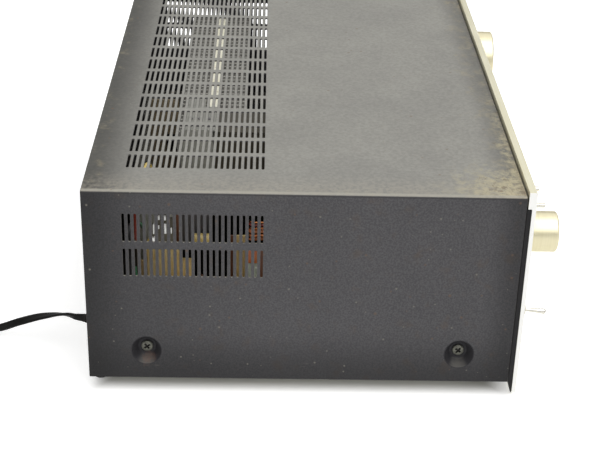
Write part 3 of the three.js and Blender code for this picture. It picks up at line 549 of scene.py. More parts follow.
def face_mark(tree):
    """The value that a shape carries on its faces."""
    return add_node(tree, "Attribute", attribute_name="mark").outputs["Fac"]


def distance_to(tree, place):
    """The distance to a place in metres."""
    sockets = {0: object_point(tree), 1: place}
    return add_node(tree, "VectorMath", sockets, operation="DISTANCE").outputs["Value"]


def joined(tree, operation, values):
    """The values taken together by one operation, from the first to the last."""
    result = values[0]
    for value in values[1:]:
        result = math_node(tree, operation, result, value)
    return result


def product(tree, *values):
    """All the values multiplied."""
    return joined(tree, "MULTIPLY", values)


def total(tree, *values):
    """All the values added."""
    return joined(tree, "ADD", values)


def greatest(tree, *values):
    """The greatest of the values."""
    return joined(tree, "MAXIMUM", values)


def weighted(tree, *shares):
    """The sum of the values, each times its share."""
    return total(tree, *[product(tree, value, share) for value, share in shares])


def fade(tree, value, start, end, low=0.0, high=1.0):
    """A smooth step whose start and end are given in millimetres."""
    return ramp(tree, value, start * MM, end * MM, low, high)


def scaled_colour(tree, colour, factor):
    """A colour times a factor."""
    return add_node(tree, "VectorMath", {0: colour, "Scale": factor}, operation="SCALE").outputs["Vector"]


def mottle_group():
    """Soft patches: a noise in object space, mapped between two levels."""
    inputs = {"Scale": 10.0, "Detail": 4.0, "Low": 0.4, "High": 0.6, "Stretch": (1.0, 1.0, 1.0)}
    tree, given, result = new_group("mottle", inputs, ["Mask"])
    patches = noise(tree, given["Scale"], given["Detail"], stretch=given["Stretch"])
    tree.links.new(ramp(tree, patches, given["Low"], given["High"]), result["Mask"])
    return tree


def speckle_group():
    """Small round specks: cells of one size, of which a share holds a speck of its own size."""
    tree, given, result = new_group("speckle", {"Scale": 200.0, "Size": 0.3, "Cover": 0.2}, ["Mask"])
    cells = add_node(tree, "TexVoronoi", {"Vector": object_point(tree), "Scale": given["Scale"]})
    chance = add_node(tree, "SeparateColor", {0: cells.outputs["Color"]}).outputs
    reach = math_node(tree, "MULTIPLY", given["Size"], chance[1])
    inside = math_node(tree, "SUBTRACT", reach, cells.outputs["Distance"])
    soft = math_node(tree, "DIVIDE", inside, math_node(tree, "MULTIPLY", given["Size"], 0.4), clamp=True)
    chosen = math_node(tree, "LESS_THAN", chance[0], given["Cover"])
    tree.links.new(math_node(tree, "MULTIPLY", soft, chosen), result["Mask"])
    return tree


def scratch_group():
    """Short fine scratches: the crest of a noise drawn out along one axis, kept in few patches."""
    inputs = {"Scale": 60.0, "Cover": 0.3, "Stretch": (1.0, 0.05, 1.0)}
    tree, given, result = new_group("scratches", inputs, ["Mask"])
    crest = ramp(tree, noise(tree, given["Scale"], 1.0, stretch=given["Stretch"]), 0.735, 0.76)
    least = math_node(tree, "SUBTRACT", 0.75, given["Cover"])
    kept = ramp(tree, noise(tree, 14.0, 0.0), least, 0.76)
    tree.links.new(product(tree, crest, kept), result["Mask"])
    return tree


def dust_group():
    """Settled dust: what faces up holds it, unevenly."""
    inputs = {"Amount": 1.0, "Scale": 30.0, "Unevenness": 0.4}
    tree, given, result = new_group("settled_dust", inputs, ["Mask"])
    upward = ramp(tree, facing(tree, "Z"), 0.5, 0.97)
    thin = product(tree, ramp(tree, noise(tree, given["Scale"], 6.0), 0.3, 0.7), given["Unevenness"])
    held = product(tree, upward, math_node(tree, "SUBTRACT", 1.0, thin))
    tree.links.new(math_node(tree, "MULTIPLY", held, given["Amount"], clamp=True), result["Mask"])
    return tree


GROUPS = {"mottle": mottle_group(), "speckle": speckle_group(), "scratches": scratch_group(),
          "settled_dust": dust_group()}


def mask_of(tree, group, **values):
    """A shared group placed in a material with its own values."""
    made = tree.nodes.new("ShaderNodeGroup")
    made.node_tree = GROUPS[group]
    for label, value in values.items():
        made.inputs[label].default_value = value
    return made.outputs["Mask"]


def new_material(name):
    """A material, its tree and the sockets of its Principled shader."""
    made = bpy.data.materials.new(name)
    made.use_nodes = True
    return made, made.node_tree, made.node_tree.nodes["Principled BSDF"].inputs


def set_bump(tree, shader, height, strength, depth_mm):
    """A height of so many millimetres that tilts the shader's normal."""
    bump = add_node(tree, "Bump", {"Height": height, "Strength": strength, "Distance": depth_mm * MM})
    tree.links.new(bump.outputs["Normal"], shader["Normal"])


# Grain that the plain finishes share, and that the brushed ones share
GRAIN_SCALE = 900.0
GRAIN_DEPTH = 0.04
BRUSHED_GRAIN = 700.0


def plain_finish(name, colour, second, rough=(0.4, 0.55), metallic=0.0, scale=25.0,
                 stretch=(1.0, 1.0, 1.0), dust=0.0, dust_colour=(0.28, 0.26, 0.22), specks=0.0,
                 speck_colour=(0.3, 0.27, 0.2), coat=0.0, gloss=0.5):
    """A finish of two close colours in soft patches, with a fine grain, and dust or specks on it."""
    made, tree, shader = new_material(name)
    patches = mask_of(tree, "mottle", Scale=scale, Low=0.3, High=0.7)
    fine = mask_of(tree, "mottle", Scale=GRAIN_SCALE, Detail=2.0, Low=0.25, High=0.75, Stretch=stretch)
    tone = weighted(tree, (patches, 0.6), (fine, 0.4))
    shade = mix_colour(tree, tone, colour, second)
    dull = tone
    if specks:
        spots = mask_of(tree, "speckle", Scale=260.0, Size=0.34, Cover=specks)
        shade = mix_colour(tree, spots, shade, speck_colour)
        dull = greatest(tree, dull, spots)
    shader["Metallic"].default_value = metallic
    if dust:
        held = mask_of(tree, "settled_dust", Amount=dust)
        shade = mix_colour(tree, held, shade, dust_colour)
        dull = greatest(tree, dull, held)
        if metallic:
            tree.links.new(ramp(tree, held, 0.0, 1.0, metallic, 0.0), shader["Metallic"])
    tree.links.new(shade, shader["Base Color"])
    tree.links.new(ramp(tree, dull, 0.0, 1.0, *rough), shader["Roughness"])
    shader["Coat Weight"].default_value = coat
    shader["Specular IOR Level"].default_value = gloss
    set_bump(tree, shader, fine, 0.5, GRAIN_DEPTH)
    return made


# Cover's finish: the paint's and the dust's two tones, the dust's also holding painted sheen, and each
# layer's colour with its strength; some layers are painted shade or light
PAINT_TONES = ((0.065, 0.064, 0.069), (0.128, 0.124, 0.130))
DUST_AND_SHEEN_TONES = ((0.300, 0.294, 0.266), (0.368, 0.360, 0.326))
PAINT_LAYERS = {
    "brown_cast": ((0.115, 0.088, 0.070), 0.5),
    "tan_stain": ((0.41, 0.36, 0.235), 1.0),
    "pale_grime": ((0.56, 0.50, 0.33), 1.0),
    "dark_grime": ((0.13, 0.09, 0.05), 0.75),
    # The next three layers are painted light: a warm lighter tone and a highlight by the top's near edge,
    # and a dark line of shade in the bend
    "painted_warm_light": ((0.40, 0.36, 0.29), 1.0),
    "painted_edge_highlight": ((0.44, 0.42, 0.36), 0.7),
    "painted_bend_shade": ((0.035, 0.034, 0.035), 0.7),
    "pale_specks": ((0.28, 0.265, 0.22), 0.6),
    "rust_specks": ((0.19, 0.115, 0.07), 0.45),
    "scratches": ((0.26, 0.24, 0.22), 0.28),
    # Painted shade inside the wells
    "painted_well_shade": ((0.022, 0.021, 0.025), 0.78),
    "well_rust": ((0.22, 0.125, 0.09), 0.6),
    "bare_rim": ((0.20, 0.19, 0.165), 1.0),
}
STAIN_STRENGTH = 0.62

# Middle of the left side's rear well, in metres
REAR_WELL = (-0.2145, 0.1150, 0.0252)


def coated(tree, under, name, *masks):
    """A shade with the named layer of the cover's finish over it, where all the masks hold."""
    colour, strength = PAINT_LAYERS[name]
    return mix_colour(tree, product(tree, *masks, strength), under, colour)


def cover_paint():
    """Satin charcoal paint: dust and tan stains on top, the dust's tone also holding painted sheen, pale
    and rusty specks, and bare slot edges; painted shade towards the edges, in the wells and in the bend,
    and painted light along the top's near edge.
    """
    made, tree, shader = new_material("charcoal_paint")
    x, y, z = add_node(tree, "SeparateXYZ", {0: object_point(tree)}).outputs
    left = -HALF_WIDTH
    upward = facing(tree, "Z")
    top = ramp(tree, upward, 0.55, 0.95)
    mark = face_mark(tree)

    # Paint: grain of three sizes, a brown cast, and painted shade that darkens it towards the rear, front
    # and bottom edges
    broad = mask_of(tree, "mottle", Scale=11.0, Low=0.3, High=0.7)
    close = mask_of(tree, "mottle", Scale=820.0, Detail=6.0, Low=0.34, High=0.66)
    fine = mask_of(tree, "mottle", Scale=1500.0, Detail=2.0, Low=0.2, High=0.8)
    shade = mix_colour(tree, weighted(tree, (broad, 0.2), (close, 0.6), (fine, 0.2)), *PAINT_TONES)
    brown = mask_of(tree, "mottle", Scale=95.0, Detail=7.0, Low=0.56, High=0.76)
    shade = coated(tree, shade, "brown_cast", brown)
    rear_painted_shade = fade(tree, y, REAR_Y, REAR_Y - 38, 0.38)
    rear_broad_painted_shade = fade(tree, y, REAR_Y - 20, REAR_Y - 130, 0.76)
    front_painted_shade = fade(tree, y, FRONT_Y, FRONT_Y + 26, 0.48)
    low_painted_shade = fade(tree, z, CASE_BOTTOM, CASE_BOTTOM + 46, 0.39)
    shade = scaled_colour(tree, shade, product(tree, rear_painted_shade, rear_broad_painted_shade, front_painted_shade, low_painted_shade))

    # Dust on what faces up, in a tone that is partly dust and partly painted sheen of the top, darker by
    # the rear and the front
    dust = mask_of(tree, "settled_dust", Amount=0.95, Scale=24.0, Unevenness=0.14)
    dust_tone = mask_of(tree, "mottle", Scale=420.0, Detail=4.0, Low=0.25, High=0.75)
    rear_darker = fade(tree, y, REAR_Y - 2, REAR_Y - 42, 0.31)
    front_darker = fade(tree, y, FRONT_Y + 2, FRONT_Y + 24, 0.62)
    dust_and_sheen = mix_colour(tree, dust_tone, *DUST_AND_SHEEN_TONES)
    dust_and_sheen = scaled_colour(tree, dust_and_sheen, product(tree, rear_darker, front_darker))
    shade = mix_colour(tree, dust, shade, dust_and_sheen)

    # Tan stains and grime, which gather by the edges and most in the near front corner
    front_edge = fade(tree, y, FRONT_Y + 40, FRONT_Y + 4, 0.0, 0.5)
    left_edge = fade(tree, x, left + 12, left + 1, 0.0, 0.42)
    rear_edge = fade(tree, y, REAR_Y - 26, REAR_Y - 4, 0.0, 0.34)
    corner = fade(tree, distance_to(tree, (left * MM, FRONT_Y * MM, CASE_TOP * MM)), 85, 4)
    by_front = fade(tree, y, FRONT_Y + 15, FRONT_Y + 3, 0.0, 0.75)
    nearer = fade(tree, x, left + 260, left + 20)
    near = greatest(tree, front_edge, left_edge, rear_edge, product(tree, corner, 0.85))
    grimy = greatest(tree, corner, product(tree, by_front, nearer))
    blotches = noise(tree, 70.0, 9.0, 0.72)
    stain = ramp(tree, total(tree, blotches, product(tree, near, 0.34)), 0.62, 0.92)
    stain = product(tree, stain, top, STAIN_STRENGTH)
    shade = coated(tree, shade, "tan_stain", stain)
    pale_grime = total(tree, noise(tree, 190.0, 8.0, 0.75), product(tree, grimy, 0.22))
    shade = coated(tree, shade, "pale_grime", ramp(tree, pale_grime, 0.52, 0.78), top, grimy)
    dark_grime = total(tree, noise(tree, 210.0, 7.0, 0.75), weighted(tree, (near, 0.14), (grimy, 0.07)))
    shade = coated(tree, shade, "dark_grime", ramp(tree, dark_grime, 0.66, 0.80), top)
    # Painted light: lighter and warmer towards the near edge of the top
    shade = coated(tree, shade, "painted_warm_light", fade(tree, x, left + 34, left + 4, 0.0, 0.45), top, dust_tone)
    # A painted highlight along the top's near edge
    shade = coated(tree, shade, "painted_edge_highlight", fade(tree, x, left + 4.6, left + 2.4), top)
    # Painted shade: a dark line in the bend below that edge
    shade = coated(tree, shade, "painted_bend_shade", ramp(tree, upward, 0.04, 0.2), ramp(tree, upward, 0.75, 0.5))

    # Specks and scratches
    pale = mask_of(tree, "speckle", Scale=150.0, Size=0.15, Cover=0.6)
    shade = coated(tree, shade, "pale_specks", pale)
    rust = mask_of(tree, "speckle", Scale=100.0, Size=0.15, Cover=0.8)
    shade = coated(tree, shade, "rust_specks", rust)
    scratch = mask_of(tree, "scratches", Scale=420.0, Cover=0.26, Stretch=(1.0, 0.16, 0.8))
    shade = coated(tree, shade, "scratches", scratch)

    # Wells are marked below 0 and get painted shade, with rust at the rear one; slot rims are marked above
    # 0
    shade = coated(tree, shade, "painted_well_shade", math_node(tree, "MULTIPLY", mark, -1.0, clamp=True))
    well_rust = total(tree, fade(tree, distance_to(tree, REAR_WELL), 10, 1, 0.0, 0.34), blotches)
    shade = coated(tree, shade, "well_rust", ramp(tree, well_rust, 0.62, 0.95))
    rim_wear = math_node(tree, "MULTIPLY", mark, 0.4, clamp=True)
    below_top = fade(tree, z, CASE_TOP - 1.4, CASE_TOP - 4, 0.15)
    shade = coated(tree, shade, "bare_rim", rim_wear, below_top)

    tree.links.new(shade, shader["Base Color"])
    gloss = ramp(tree, greatest(tree, dust, stain), 0.0, 1.0, 0.5, 0.72)
    tree.links.new(total(tree, gloss, product(tree, fine, 0.08)), shader["Roughness"])
    shader["Specular IOR Level"].default_value = 0.35
    set_bump(tree, shader, total(tree, fine, product(tree, stain, 0.6)), 0.35, 0.05)
    return made


def brushed_metal(name, colour, second, rough, stretch, metallic=1.0, specks=0.0, bright_ends=False):
    """Metal with a grain drawn out along one axis, soft stains and a few specks; its ends can be bare."""
    made, tree, shader = new_material(name)
    lines = mask_of(tree, "mottle", Scale=BRUSHED_GRAIN, Detail=3.0, Low=0.3, High=0.7, Stretch=stretch)
    stains = mask_of(tree, "mottle", Scale=30.0, Low=0.4, High=0.75)
    tone = weighted(tree, (lines, 0.5), (stains, 0.5))
    shade = mix_colour(tree, tone, colour, second)
    if specks:
        spots = mask_of(tree, "speckle", Scale=130.0, Size=0.12, Cover=specks)
        shade = mix_colour(tree, spots, shade, (0.2, 0.15, 0.08))
    shader["Metallic"].default_value = metallic
    if bright_ends:
        end = ramp(tree, math_node(tree, "ABSOLUTE", facing(tree, "X")), 0.7, 0.95)
        bare = mix_colour(tree, stains, (0.95, 0.945, 0.92), (0.98, 0.975, 0.96))
        shade = mix_colour(tree, end, shade, bare)
        tree.links.new(ramp(tree, end, 0.0, 1.0, metallic, 0.9), shader["Metallic"])
    tree.links.new(shade, shader["Base Color"])
    tree.links.new(ramp(tree, tone, 0.0, 1.0, rough - 0.06, rough + 0.08), shader["Roughness"])
    set_bump(tree, shader, lines, 0.25, 0.02)
    return made


def screw_metal():
    """Dull greenish plating, with painted shade, near black, in the cross."""
    made, tree, shader = new_material("dull_screw")
    stains = mask_of(tree, "mottle", Scale=700.0, Detail=4.0, Low=0.35, High=0.7)
    shade = mix_colour(tree, stains, (0.14, 0.14, 0.115), (0.22, 0.22, 0.185))
    # Painted shade in the recess of the cross
    cross_shade = math_node(tree, "MULTIPLY", face_mark(tree), 1.0, clamp=True)
    shade = mix_colour(tree, cross_shade, shade, (0.008, 0.007, 0.006))
    tree.links.new(shade, shader["Base Color"])
    shader["Metallic"].default_value = 0.35
    tree.links.new(ramp(tree, stains, 0.0, 1.0, 0.42, 0.6), shader["Roughness"])
    set_bump(tree, shader, stains, 0.4, 0.03)
    return made


def knob_metal():
    """Champagne anodising, turned: fine rings along the knob's length, and soft stains."""
    made, tree, shader = new_material("knob_champagne")
    rings = mask_of(tree, "mottle", Scale=900.0, Detail=2.0, Low=0.3, High=0.7, Stretch=(0.03, 1.0, 0.03))
    wear = mask_of(tree, "mottle", Scale=60.0, Low=0.45, High=0.8)
    shade = mix_colour(tree, rings, (0.83, 0.765, 0.53), (0.87, 0.81, 0.58))
    shade = mix_colour(tree, product(tree, wear, 0.08), shade, (0.74, 0.65, 0.42))
    tree.links.new(shade, shader["Base Color"])
    shader["Metallic"].default_value = 0.9
    tree.links.new(ramp(tree, rings, 0.0, 1.0, 0.38, 0.44), shader["Roughness"])
    set_bump(tree, shader, rings, 0.1, 0.01)
    return made


def cord_sheath():
    """Black cord sheath: a satin skin with a fine grain and paler scuffs."""
    made, tree, shader = new_material("cord_sheath")
    scuff = mask_of(tree, "mottle", Scale=160.0, Detail=4.0, Low=0.5, High=0.8)
    fine = mask_of(tree, "mottle", Scale=1400.0, Detail=2.0, Low=0.3, High=0.7)
    shade = mix_colour(tree, product(tree, scuff, 0.5), (0.006, 0.0055, 0.005), (0.04, 0.036, 0.028))
    tree.links.new(shade, shader["Base Color"])
    shader["Specular IOR Level"].default_value = 0.16
    tree.links.new(ramp(tree, scuff, 0.0, 1.0, 0.3, 0.5), shader["Roughness"])
    set_bump(tree, shader, fine, 0.3, 0.03)
    return made


def laminated_steel():
    """Black core plates on edge: fine lines square to the stack, with a little rust."""
    made, tree, shader = new_material("core_plates")
    lines = add_node(tree, "TexWave", {"Vector": object_point(tree), "Scale": 320.0, "Distortion": 0.4},
                     bands_direction="Y").outputs["Fac"]
    rust = mask_of(tree, "mottle", Scale=120.0, Detail=6.0, Low=0.52, High=0.8)
    shade = mix_colour(tree, rust, (0.018, 0.018, 0.02), (0.10, 0.06, 0.035))
    tree.links.new(shade, shader["Base Color"])
    tree.links.new(ramp(tree, rust, 0.0, 1.0, 0.4, 0.7), shader["Roughness"])
    shader["Metallic"].default_value = 0.3
    set_bump(tree, shader, lines, 0.6, 0.12)
    return made


def floor_surface():
    """Plain white: shows white to the camera and in gloss, with a painted shadow near and under the case,
    where the camera sees less glow and a darker colour.
    """
    made, tree, shader = new_material("white_floor")
    shader["Roughness"].default_value = 1.0
    shader["Specular IOR Level"].default_value = 0.0
    path = add_node(tree, "LightPath").outputs
    x, y, _ = add_node(tree, "SeparateXYZ", {0: object_point(tree)}).outputs
    middle, half = (FRONT_Y + REAR_Y) / 2 * MM, (REAR_Y - FRONT_Y) / 2 * MM
    from_middle = math_node(tree, "ABSOLUTE", math_node(tree, "SUBTRACT", y, middle))
    across = math_node(tree, "SUBTRACT", math_node(tree, "ABSOLUTE", x), HALF_WIDTH * MM)
    outside = greatest(tree, across, math_node(tree, "SUBTRACT", from_middle, half))
    # Painted shadow: the glow and the colour that the camera sees fall off towards and under the case
    away = fade(tree, outside, -14, 6)
    floor_with_painted_shadow = mix_colour(tree, fade(tree, outside, -30, -4), FLOOR_PAINTED_SHADOW, FLOOR_OPEN)
    shade = mix_colour(tree, path["Is Camera Ray"], FLOOR_BOUNCE, floor_with_painted_shadow)
    tree.links.new(shade, shader["Base Color"])
    shader["Emission Color"].default_value = (1.0, 1.0, 1.0, 1)
    seen = product(tree, path["Is Camera Ray"], away, FLOOR_SEEN)
    shine = product(tree, greatest(tree, path["Is Glossy Ray"], path["Is Transmission Ray"]), FLOOR_SHINE)
    tree.links.new(total(tree, seen, shine), shader["Emission Strength"])
    return made


CHARCOAL = cover_paint()
CHAMPAGNE = brushed_metal("panel_champagne", (0.93, 0.88, 0.64), (0.98, 0.95, 0.76), 0.36, (0.02, 1.0, 1.0),
                          metallic=0.62, specks=0.1, bright_ends=True)
KNOB = knob_metal()
BLACK_STEEL = plain_finish("black_steel", (0.010, 0.010, 0.011), (0.022, 0.021, 0.022), specks=0.02,
                           scale=18.0, gloss=0.25)
ZINC = plain_finish("zinc_plate", (0.42, 0.41, 0.36), (0.60, 0.60, 0.55), (0.35, 0.55), 0.5, dust=0.6,
                    scale=30.0, dust_colour=(0.36, 0.32, 0.23))
SCREW = screw_metal()
NICKEL = brushed_metal("satin_nickel", (0.70, 0.68, 0.60), (0.84, 0.82, 0.76), 0.24, (1.0, 0.05, 1.0))
RUBBER = plain_finish("foot_rubber", (0.012, 0.012, 0.012), (0.028, 0.027, 0.025), (0.75, 0.9), gloss=0.2)
SHEATH = cord_sheath()
BLACK_PLASTIC = plain_finish("black_plastic", (0.012, 0.012, 0.013), (0.024, 0.024, 0.025), (0.38, 0.5),
                             gloss=0.3)
RED_PLASTIC = plain_finish("red_plastic", (0.40, 0.022, 0.015), (0.5, 0.04, 0.025), (0.28, 0.4), coat=0.2)
IVORY_PLASTIC = plain_finish("ivory_plastic", (0.62, 0.58, 0.46), (0.72, 0.68, 0.56), (0.35, 0.5))
PHENOLIC = plain_finish("phenolic_board", (0.40, 0.27, 0.11), (0.56, 0.40, 0.19), (0.5, 0.65), scale=60.0,
                        dust=0.35, dust_colour=(0.52, 0.44, 0.28), stretch=(0.1, 1.0, 1.0))
TAN_CARD = plain_finish("tan_card", (0.80, 0.56, 0.20), (0.95, 0.76, 0.38), (0.5, 0.65), scale=90.0,
                        stretch=(1.0, 0.1, 1.0))
SINK = plain_finish("grey_sink", (0.26, 0.25, 0.23), (0.44, 0.43, 0.39), (0.45, 0.6), 0.2, scale=60.0,
                    dust=0.5, dust_colour=(0.42, 0.40, 0.34))
SHIELD = plain_finish("dusty_shield", (0.30, 0.30, 0.26), (0.44, 0.44, 0.38), (0.4, 0.6), 0.1, scale=80.0,
                      dust=0.7, dust_colour=(0.19, 0.187, 0.165), specks=0.1)
CREAM = plain_finish("cream_strip", (0.86, 0.82, 0.62), (0.95, 0.93, 0.80), (0.5, 0.7), scale=120.0,
                     specks=0.2, speck_colour=(0.35, 0.28, 0.14))
TAPE = plain_finish("winding_tape", (0.46, 0.10, 0.025), (0.66, 0.22, 0.06), (0.3, 0.5), scale=110.0,
                    specks=0.12, speck_colour=(0.16, 0.04, 0.02), coat=0.3)
COPPER = brushed_metal("enamelled_wire", (0.36, 0.10, 0.04), (0.62, 0.28, 0.11), 0.3, (1.0, 1.0, 0.1))
SLEEVE = plain_finish("blue_sleeve", (0.018, 0.03, 0.085), (0.03, 0.045, 0.12), (0.25, 0.4), dust=0.4,
                      coat=0.3)
AMBER = plain_finish("amber_case", (0.72, 0.50, 0.10), (0.88, 0.68, 0.22), (0.2, 0.35), dust=0.3, coat=0.4,
                     dust_colour=(0.7, 0.6, 0.35))
WHITE_WARE = plain_finish("white_ceramic", (0.84, 0.84, 0.80), (0.95, 0.95, 0.92), (0.15, 0.3), coat=0.6)
OLIVE = plain_finish("olive_lacquer", (0.30, 0.33, 0.24), (0.46, 0.49, 0.38), (0.3, 0.5), scale=260.0,
                     specks=0.4, speck_colour=(0.8, 0.8, 0.72))
RED_WIRE, GREEN_WIRE, YELLOW_WIRE = [
    plain_finish(name, colour, second, (0.3, 0.45), dust=0.15, coat=0.2) for name, colour, second in (
        ("red_wire", (0.24, 0.02, 0.012), (0.36, 0.05, 0.025)),
        ("green_wire", (0.03, 0.22, 0.11), (0.07, 0.34, 0.18)),
        ("yellow_wire", (0.74, 0.52, 0.08), (0.88, 0.68, 0.18)))]
DARK_CARD = plain_finish("dark_card", (0.125, 0.095, 0.052), (0.20, 0.155, 0.088), (0.5, 0.7), scale=140.0,
                         specks=0.1, speck_colour=(0.3, 0.26, 0.16))
BROWN_PART = plain_finish("brown_part", (0.13, 0.045, 0.022), (0.24, 0.10, 0.05), (0.3, 0.5), dust=0.2)
# Near black, darker than any paint: painted shade for what the slots show as black
SHADE_BLACK = plain_finish("shade_black", (0.002, 0.002, 0.002), (0.004, 0.004, 0.004), (0.85, 0.95),
                           gloss=0.05)
UMBER = plain_finish("umber_stem", (0.040, 0.033, 0.018), (0.062, 0.052, 0.030), (0.5, 0.7))
DULL_STEEL = plain_finish("dull_steel", (0.125, 0.118, 0.120), (0.175, 0.165, 0.168), (0.5, 0.7))


# Camera and cord

def place_camera():
    """The camera from its place, its two directions and its lens."""
    bpy.context.scene.view_settings.view_transform = "Standard"
    camera = bpy.data.cameras.new("photo_camera")
    camera.lens = CAMERA_LENS
    camera.sensor_width = SENSOR_WIDTH
    holder = bpy.data.objects.new("photo_camera", camera)
    right, up = Vector(CAMERA_RIGHT), Vector(CAMERA_UP)
    turn = Matrix((right, up, right.cross(up))).transposed().to_4x4()
    holder.matrix_world = Matrix.Translation(CAMERA_PLACE) @ turn
    bpy.context.scene.collection.objects.link(holder)
    bpy.context.scene.camera = holder


def relief_place():
    """The strain relief's seat on the rear panel, the way that its boot points, and the boot's end."""
    low, high = box_mm("rear_panel")
    flange_low, flange_high = box_mm("cord_strain_relief")
    seat = np.array([flange_low[0] + 8.0, high[1] + TOUCH, (flange_low[2] + flange_high[2]) / 2])
    away = np.array([math.sin(RELIEF_SWING), math.cos(RELIEF_SWING), 0])
    return seat, away, seat + RELIEF_LENGTH * away


def coil_line():
    """The coil: radius = outer - min(turn, turns - turn) pitch, with a climb of one layer half way."""
    turn = np.linspace(0, COIL_TURNS, int(COIL_TURNS * 48) + 1)
    radius = COIL_OUTER - np.minimum(turn, COIL_TURNS - turn) * COIL_TURN_PITCH
    climb = smooth_step((turn - COIL_TURNS / 2 + COIL_CLIMB) / (2 * COIL_CLIMB)) * COIL_LAYER_PITCH
    angle = math.pi - TAU * turn
    x = COIL_CENTRE[0] + radius * np.cos(angle)
    y = COIL_CENTRE[1] + radius * np.sin(angle)
    return np.stack([x, y, COIL_LOW + climb], axis=1)


def cord_lines():
    """The free stretch and the coil, each as points along its middle."""
    _, away, tip = relief_place()
    coil = coil_line()
    entry = coil[0] - (0, CORD_WIDTH + TOUCH, 0)
    route = np.array([
        tip + (TOUCH + CORD_WIDTH) * away,
        (-159.7, 178.4, 25.7),
        (-158.3, 185.6, 25.2),
        (-157.0, 192.0, 23.7),
        (-155.1, 201.7, 20.8),
        (-152.1, 216.7, 14.5),
        (-149.0, 231.9, 7.3),
        (-145.5, 246.0, 3.8),
        (-141.0, 257.0, 3.9),
        entry - (0, CORD_WIDTH, 0),
    ])
    free = np.concatenate([[tip + TOUCH * away], smooth_line(route, 10), [entry]])
    run_out = coil[-1] + np.linspace(0, COIL_RUN_OUT, 6)[1:, None] * (1, 0, 0)
    return free, np.concatenate([coil, run_out])


def cord_section():
    """Two cores side by side: x = a cos t, y = b |sin t| ^ fullness, drawn in by a groove in the middle
    whose depth falls off as exp(-(x / width) ^ 2)."""
    turn = turns(CORD_SIDES) + TAU / CORD_SIDES / 2
    x = CORD_WIDTH / 2 * np.cos(turn)
    y = CORD_THICKNESS / 2 * np.sign(np.sin(turn)) * np.abs(np.sin(turn)) ** CORD_FULLNESS
    groove = CORD_GROOVE * np.exp(-((x / (CORD_GROOVE_WIDTH * CORD_WIDTH)) ** 2))
    return np.stack([x, y * (1 - groove)], axis=1)


def mains_cord():
    """The cord from the relief to the end of its coil, turned on edge on its way to the floor."""
    free, coil = cord_lines()
    line = np.concatenate([free, coil])
    run = np.concatenate([[0], np.cumsum(np.linalg.norm(np.diff(free, axis=0), axis=1))])
    share = run / run[-1]
    twist = FIRST_TWIST + (LAST_TWIST - FIRST_TWIST) * (1 - (1 - share) ** TWIST_POWER)
    free_width = np.stack([np.cos(twist), 0 * twist, np.sin(twist)], axis=1)
    coil_width = np.broadcast_to((0.0, 0.0, 1.0), coil.shape)
    shape = swept(line, cord_section(), np.concatenate([free_width, coil_width]))
    cord = piece("mains_cord", shape, SHEATH, stands_for=("power_cord", "cord_coil"),
                 sharp=60)


def strain_relief():
    """A flange on the panel with an inner neck, and a boot that swings to one side. The boot is a cone
    of step s with ribs: radius = 4.9 - 1.9 s - rib + rib |sin(ribs pi s)| ^ 0.6."""
    seat, away, _ = relief_place()
    neck = eased([(0, -RELIEF_INNER), (4.4, -RELIEF_INNER), (5.4, -1.8), (5.4, 0.0), (8.0, 0.0),
                  (7.7, 2.0), (0, 2.2)], 0.5)
    step = np.linspace(0, 1, 60)
    ribs = RELIEF_RIB * np.abs(np.sin(step * math.pi * RELIEF_RIBS)) ** 0.6
    boot = np.stack([4.9 - 1.9 * step - RELIEF_RIB + ribs, 1.0 + step * (RELIEF_LENGTH - 1.0)], axis=1)
    boot = np.concatenate([[(0, 1.0)], boot, [(2.4, RELIEF_LENGTH), (0, RELIEF_LENGTH)]])
    shape = together(lathe(neck, seat, BACK), lathe(boot, seat, away, 32))
    return piece("relief_boot", shape, RUBBER, stands_for=("cord_strain_relief",))


def cord_tie():
    """A flat strap carried round the coil's turns, with a latch on its near side."""
    low, high = box_mm("cord_tie")
    x, half = (low[0] + high[0]) / 2, (high[0] - low[0]) / 2
    corners = [(low[1], low[2]), (high[1], low[2]), (high[1], high[2]), (low[1], high[2])]
    ring = eased(corners, 2.0, 5, closed=True)
    middle = ring.mean(axis=0)
    inner = middle + (ring - middle) * (1 - TIE_SHEET / np.abs(ring - middle).max(axis=0))
    path = np.concatenate([np.full((len(ring), 1), x), (ring + inner) / 2], axis=1)
    edge = TIE_SHEET / 2
    section = eased([(-half, -edge), (half, -edge), (half, edge), (-half, edge)], 0.2, 2, closed=True)
    strap = swept(path, section, (1, 0, 0), closed=True)
    latch = block((x - half - 0.8, low[1], high[2] - 4.5),
                  (x + half + 0.8, low[1] + 1.6, high[2] - 0.6), 0.4)
    return piece("cord_strap", together(strap, latch), BLACK_PLASTIC,
                 stands_for=("cord_tie",))


def plug_body(start, length, middle):
    """Sections |y / a| ^ p + |z / b| ^ p = 1 whose reach and squareness grow from the cord to the face."""
    along = np.array(PLUG_STOPS)
    grow = smooth_step((along - 0.2) / 0.35)
    half_y, half_z = [PLUG_NECK + (half - PLUG_NECK) * grow for half in PLUG_HALF]
    for half in (half_y, half_z):
        half[[0, -1]] -= PLUG_END_EASE
    centre_z = PLUG_CENTRE_Z[0] + (PLUG_CENTRE_Z[1] - PLUG_CENTRE_Z[0]) * grow
    c, s, size = squarish(turns(PLUG_SIDES)[:, None], 2.2 + 2.4 * grow)
    x = np.broadcast_to(start + along * length, size.shape)
    points = np.stack([x, middle + half_y * size * c, centre_z + half_z * size * s], axis=-1)
    ends = [np.broadcast_to((x[0, k], middle, centre_z[k]), (PLUG_SIDES, 1, 3)) for k in (0, -1)]
    return grid(np.concatenate([ends[0], points, ends[1]], axis=1), wrap_u=True).welded()


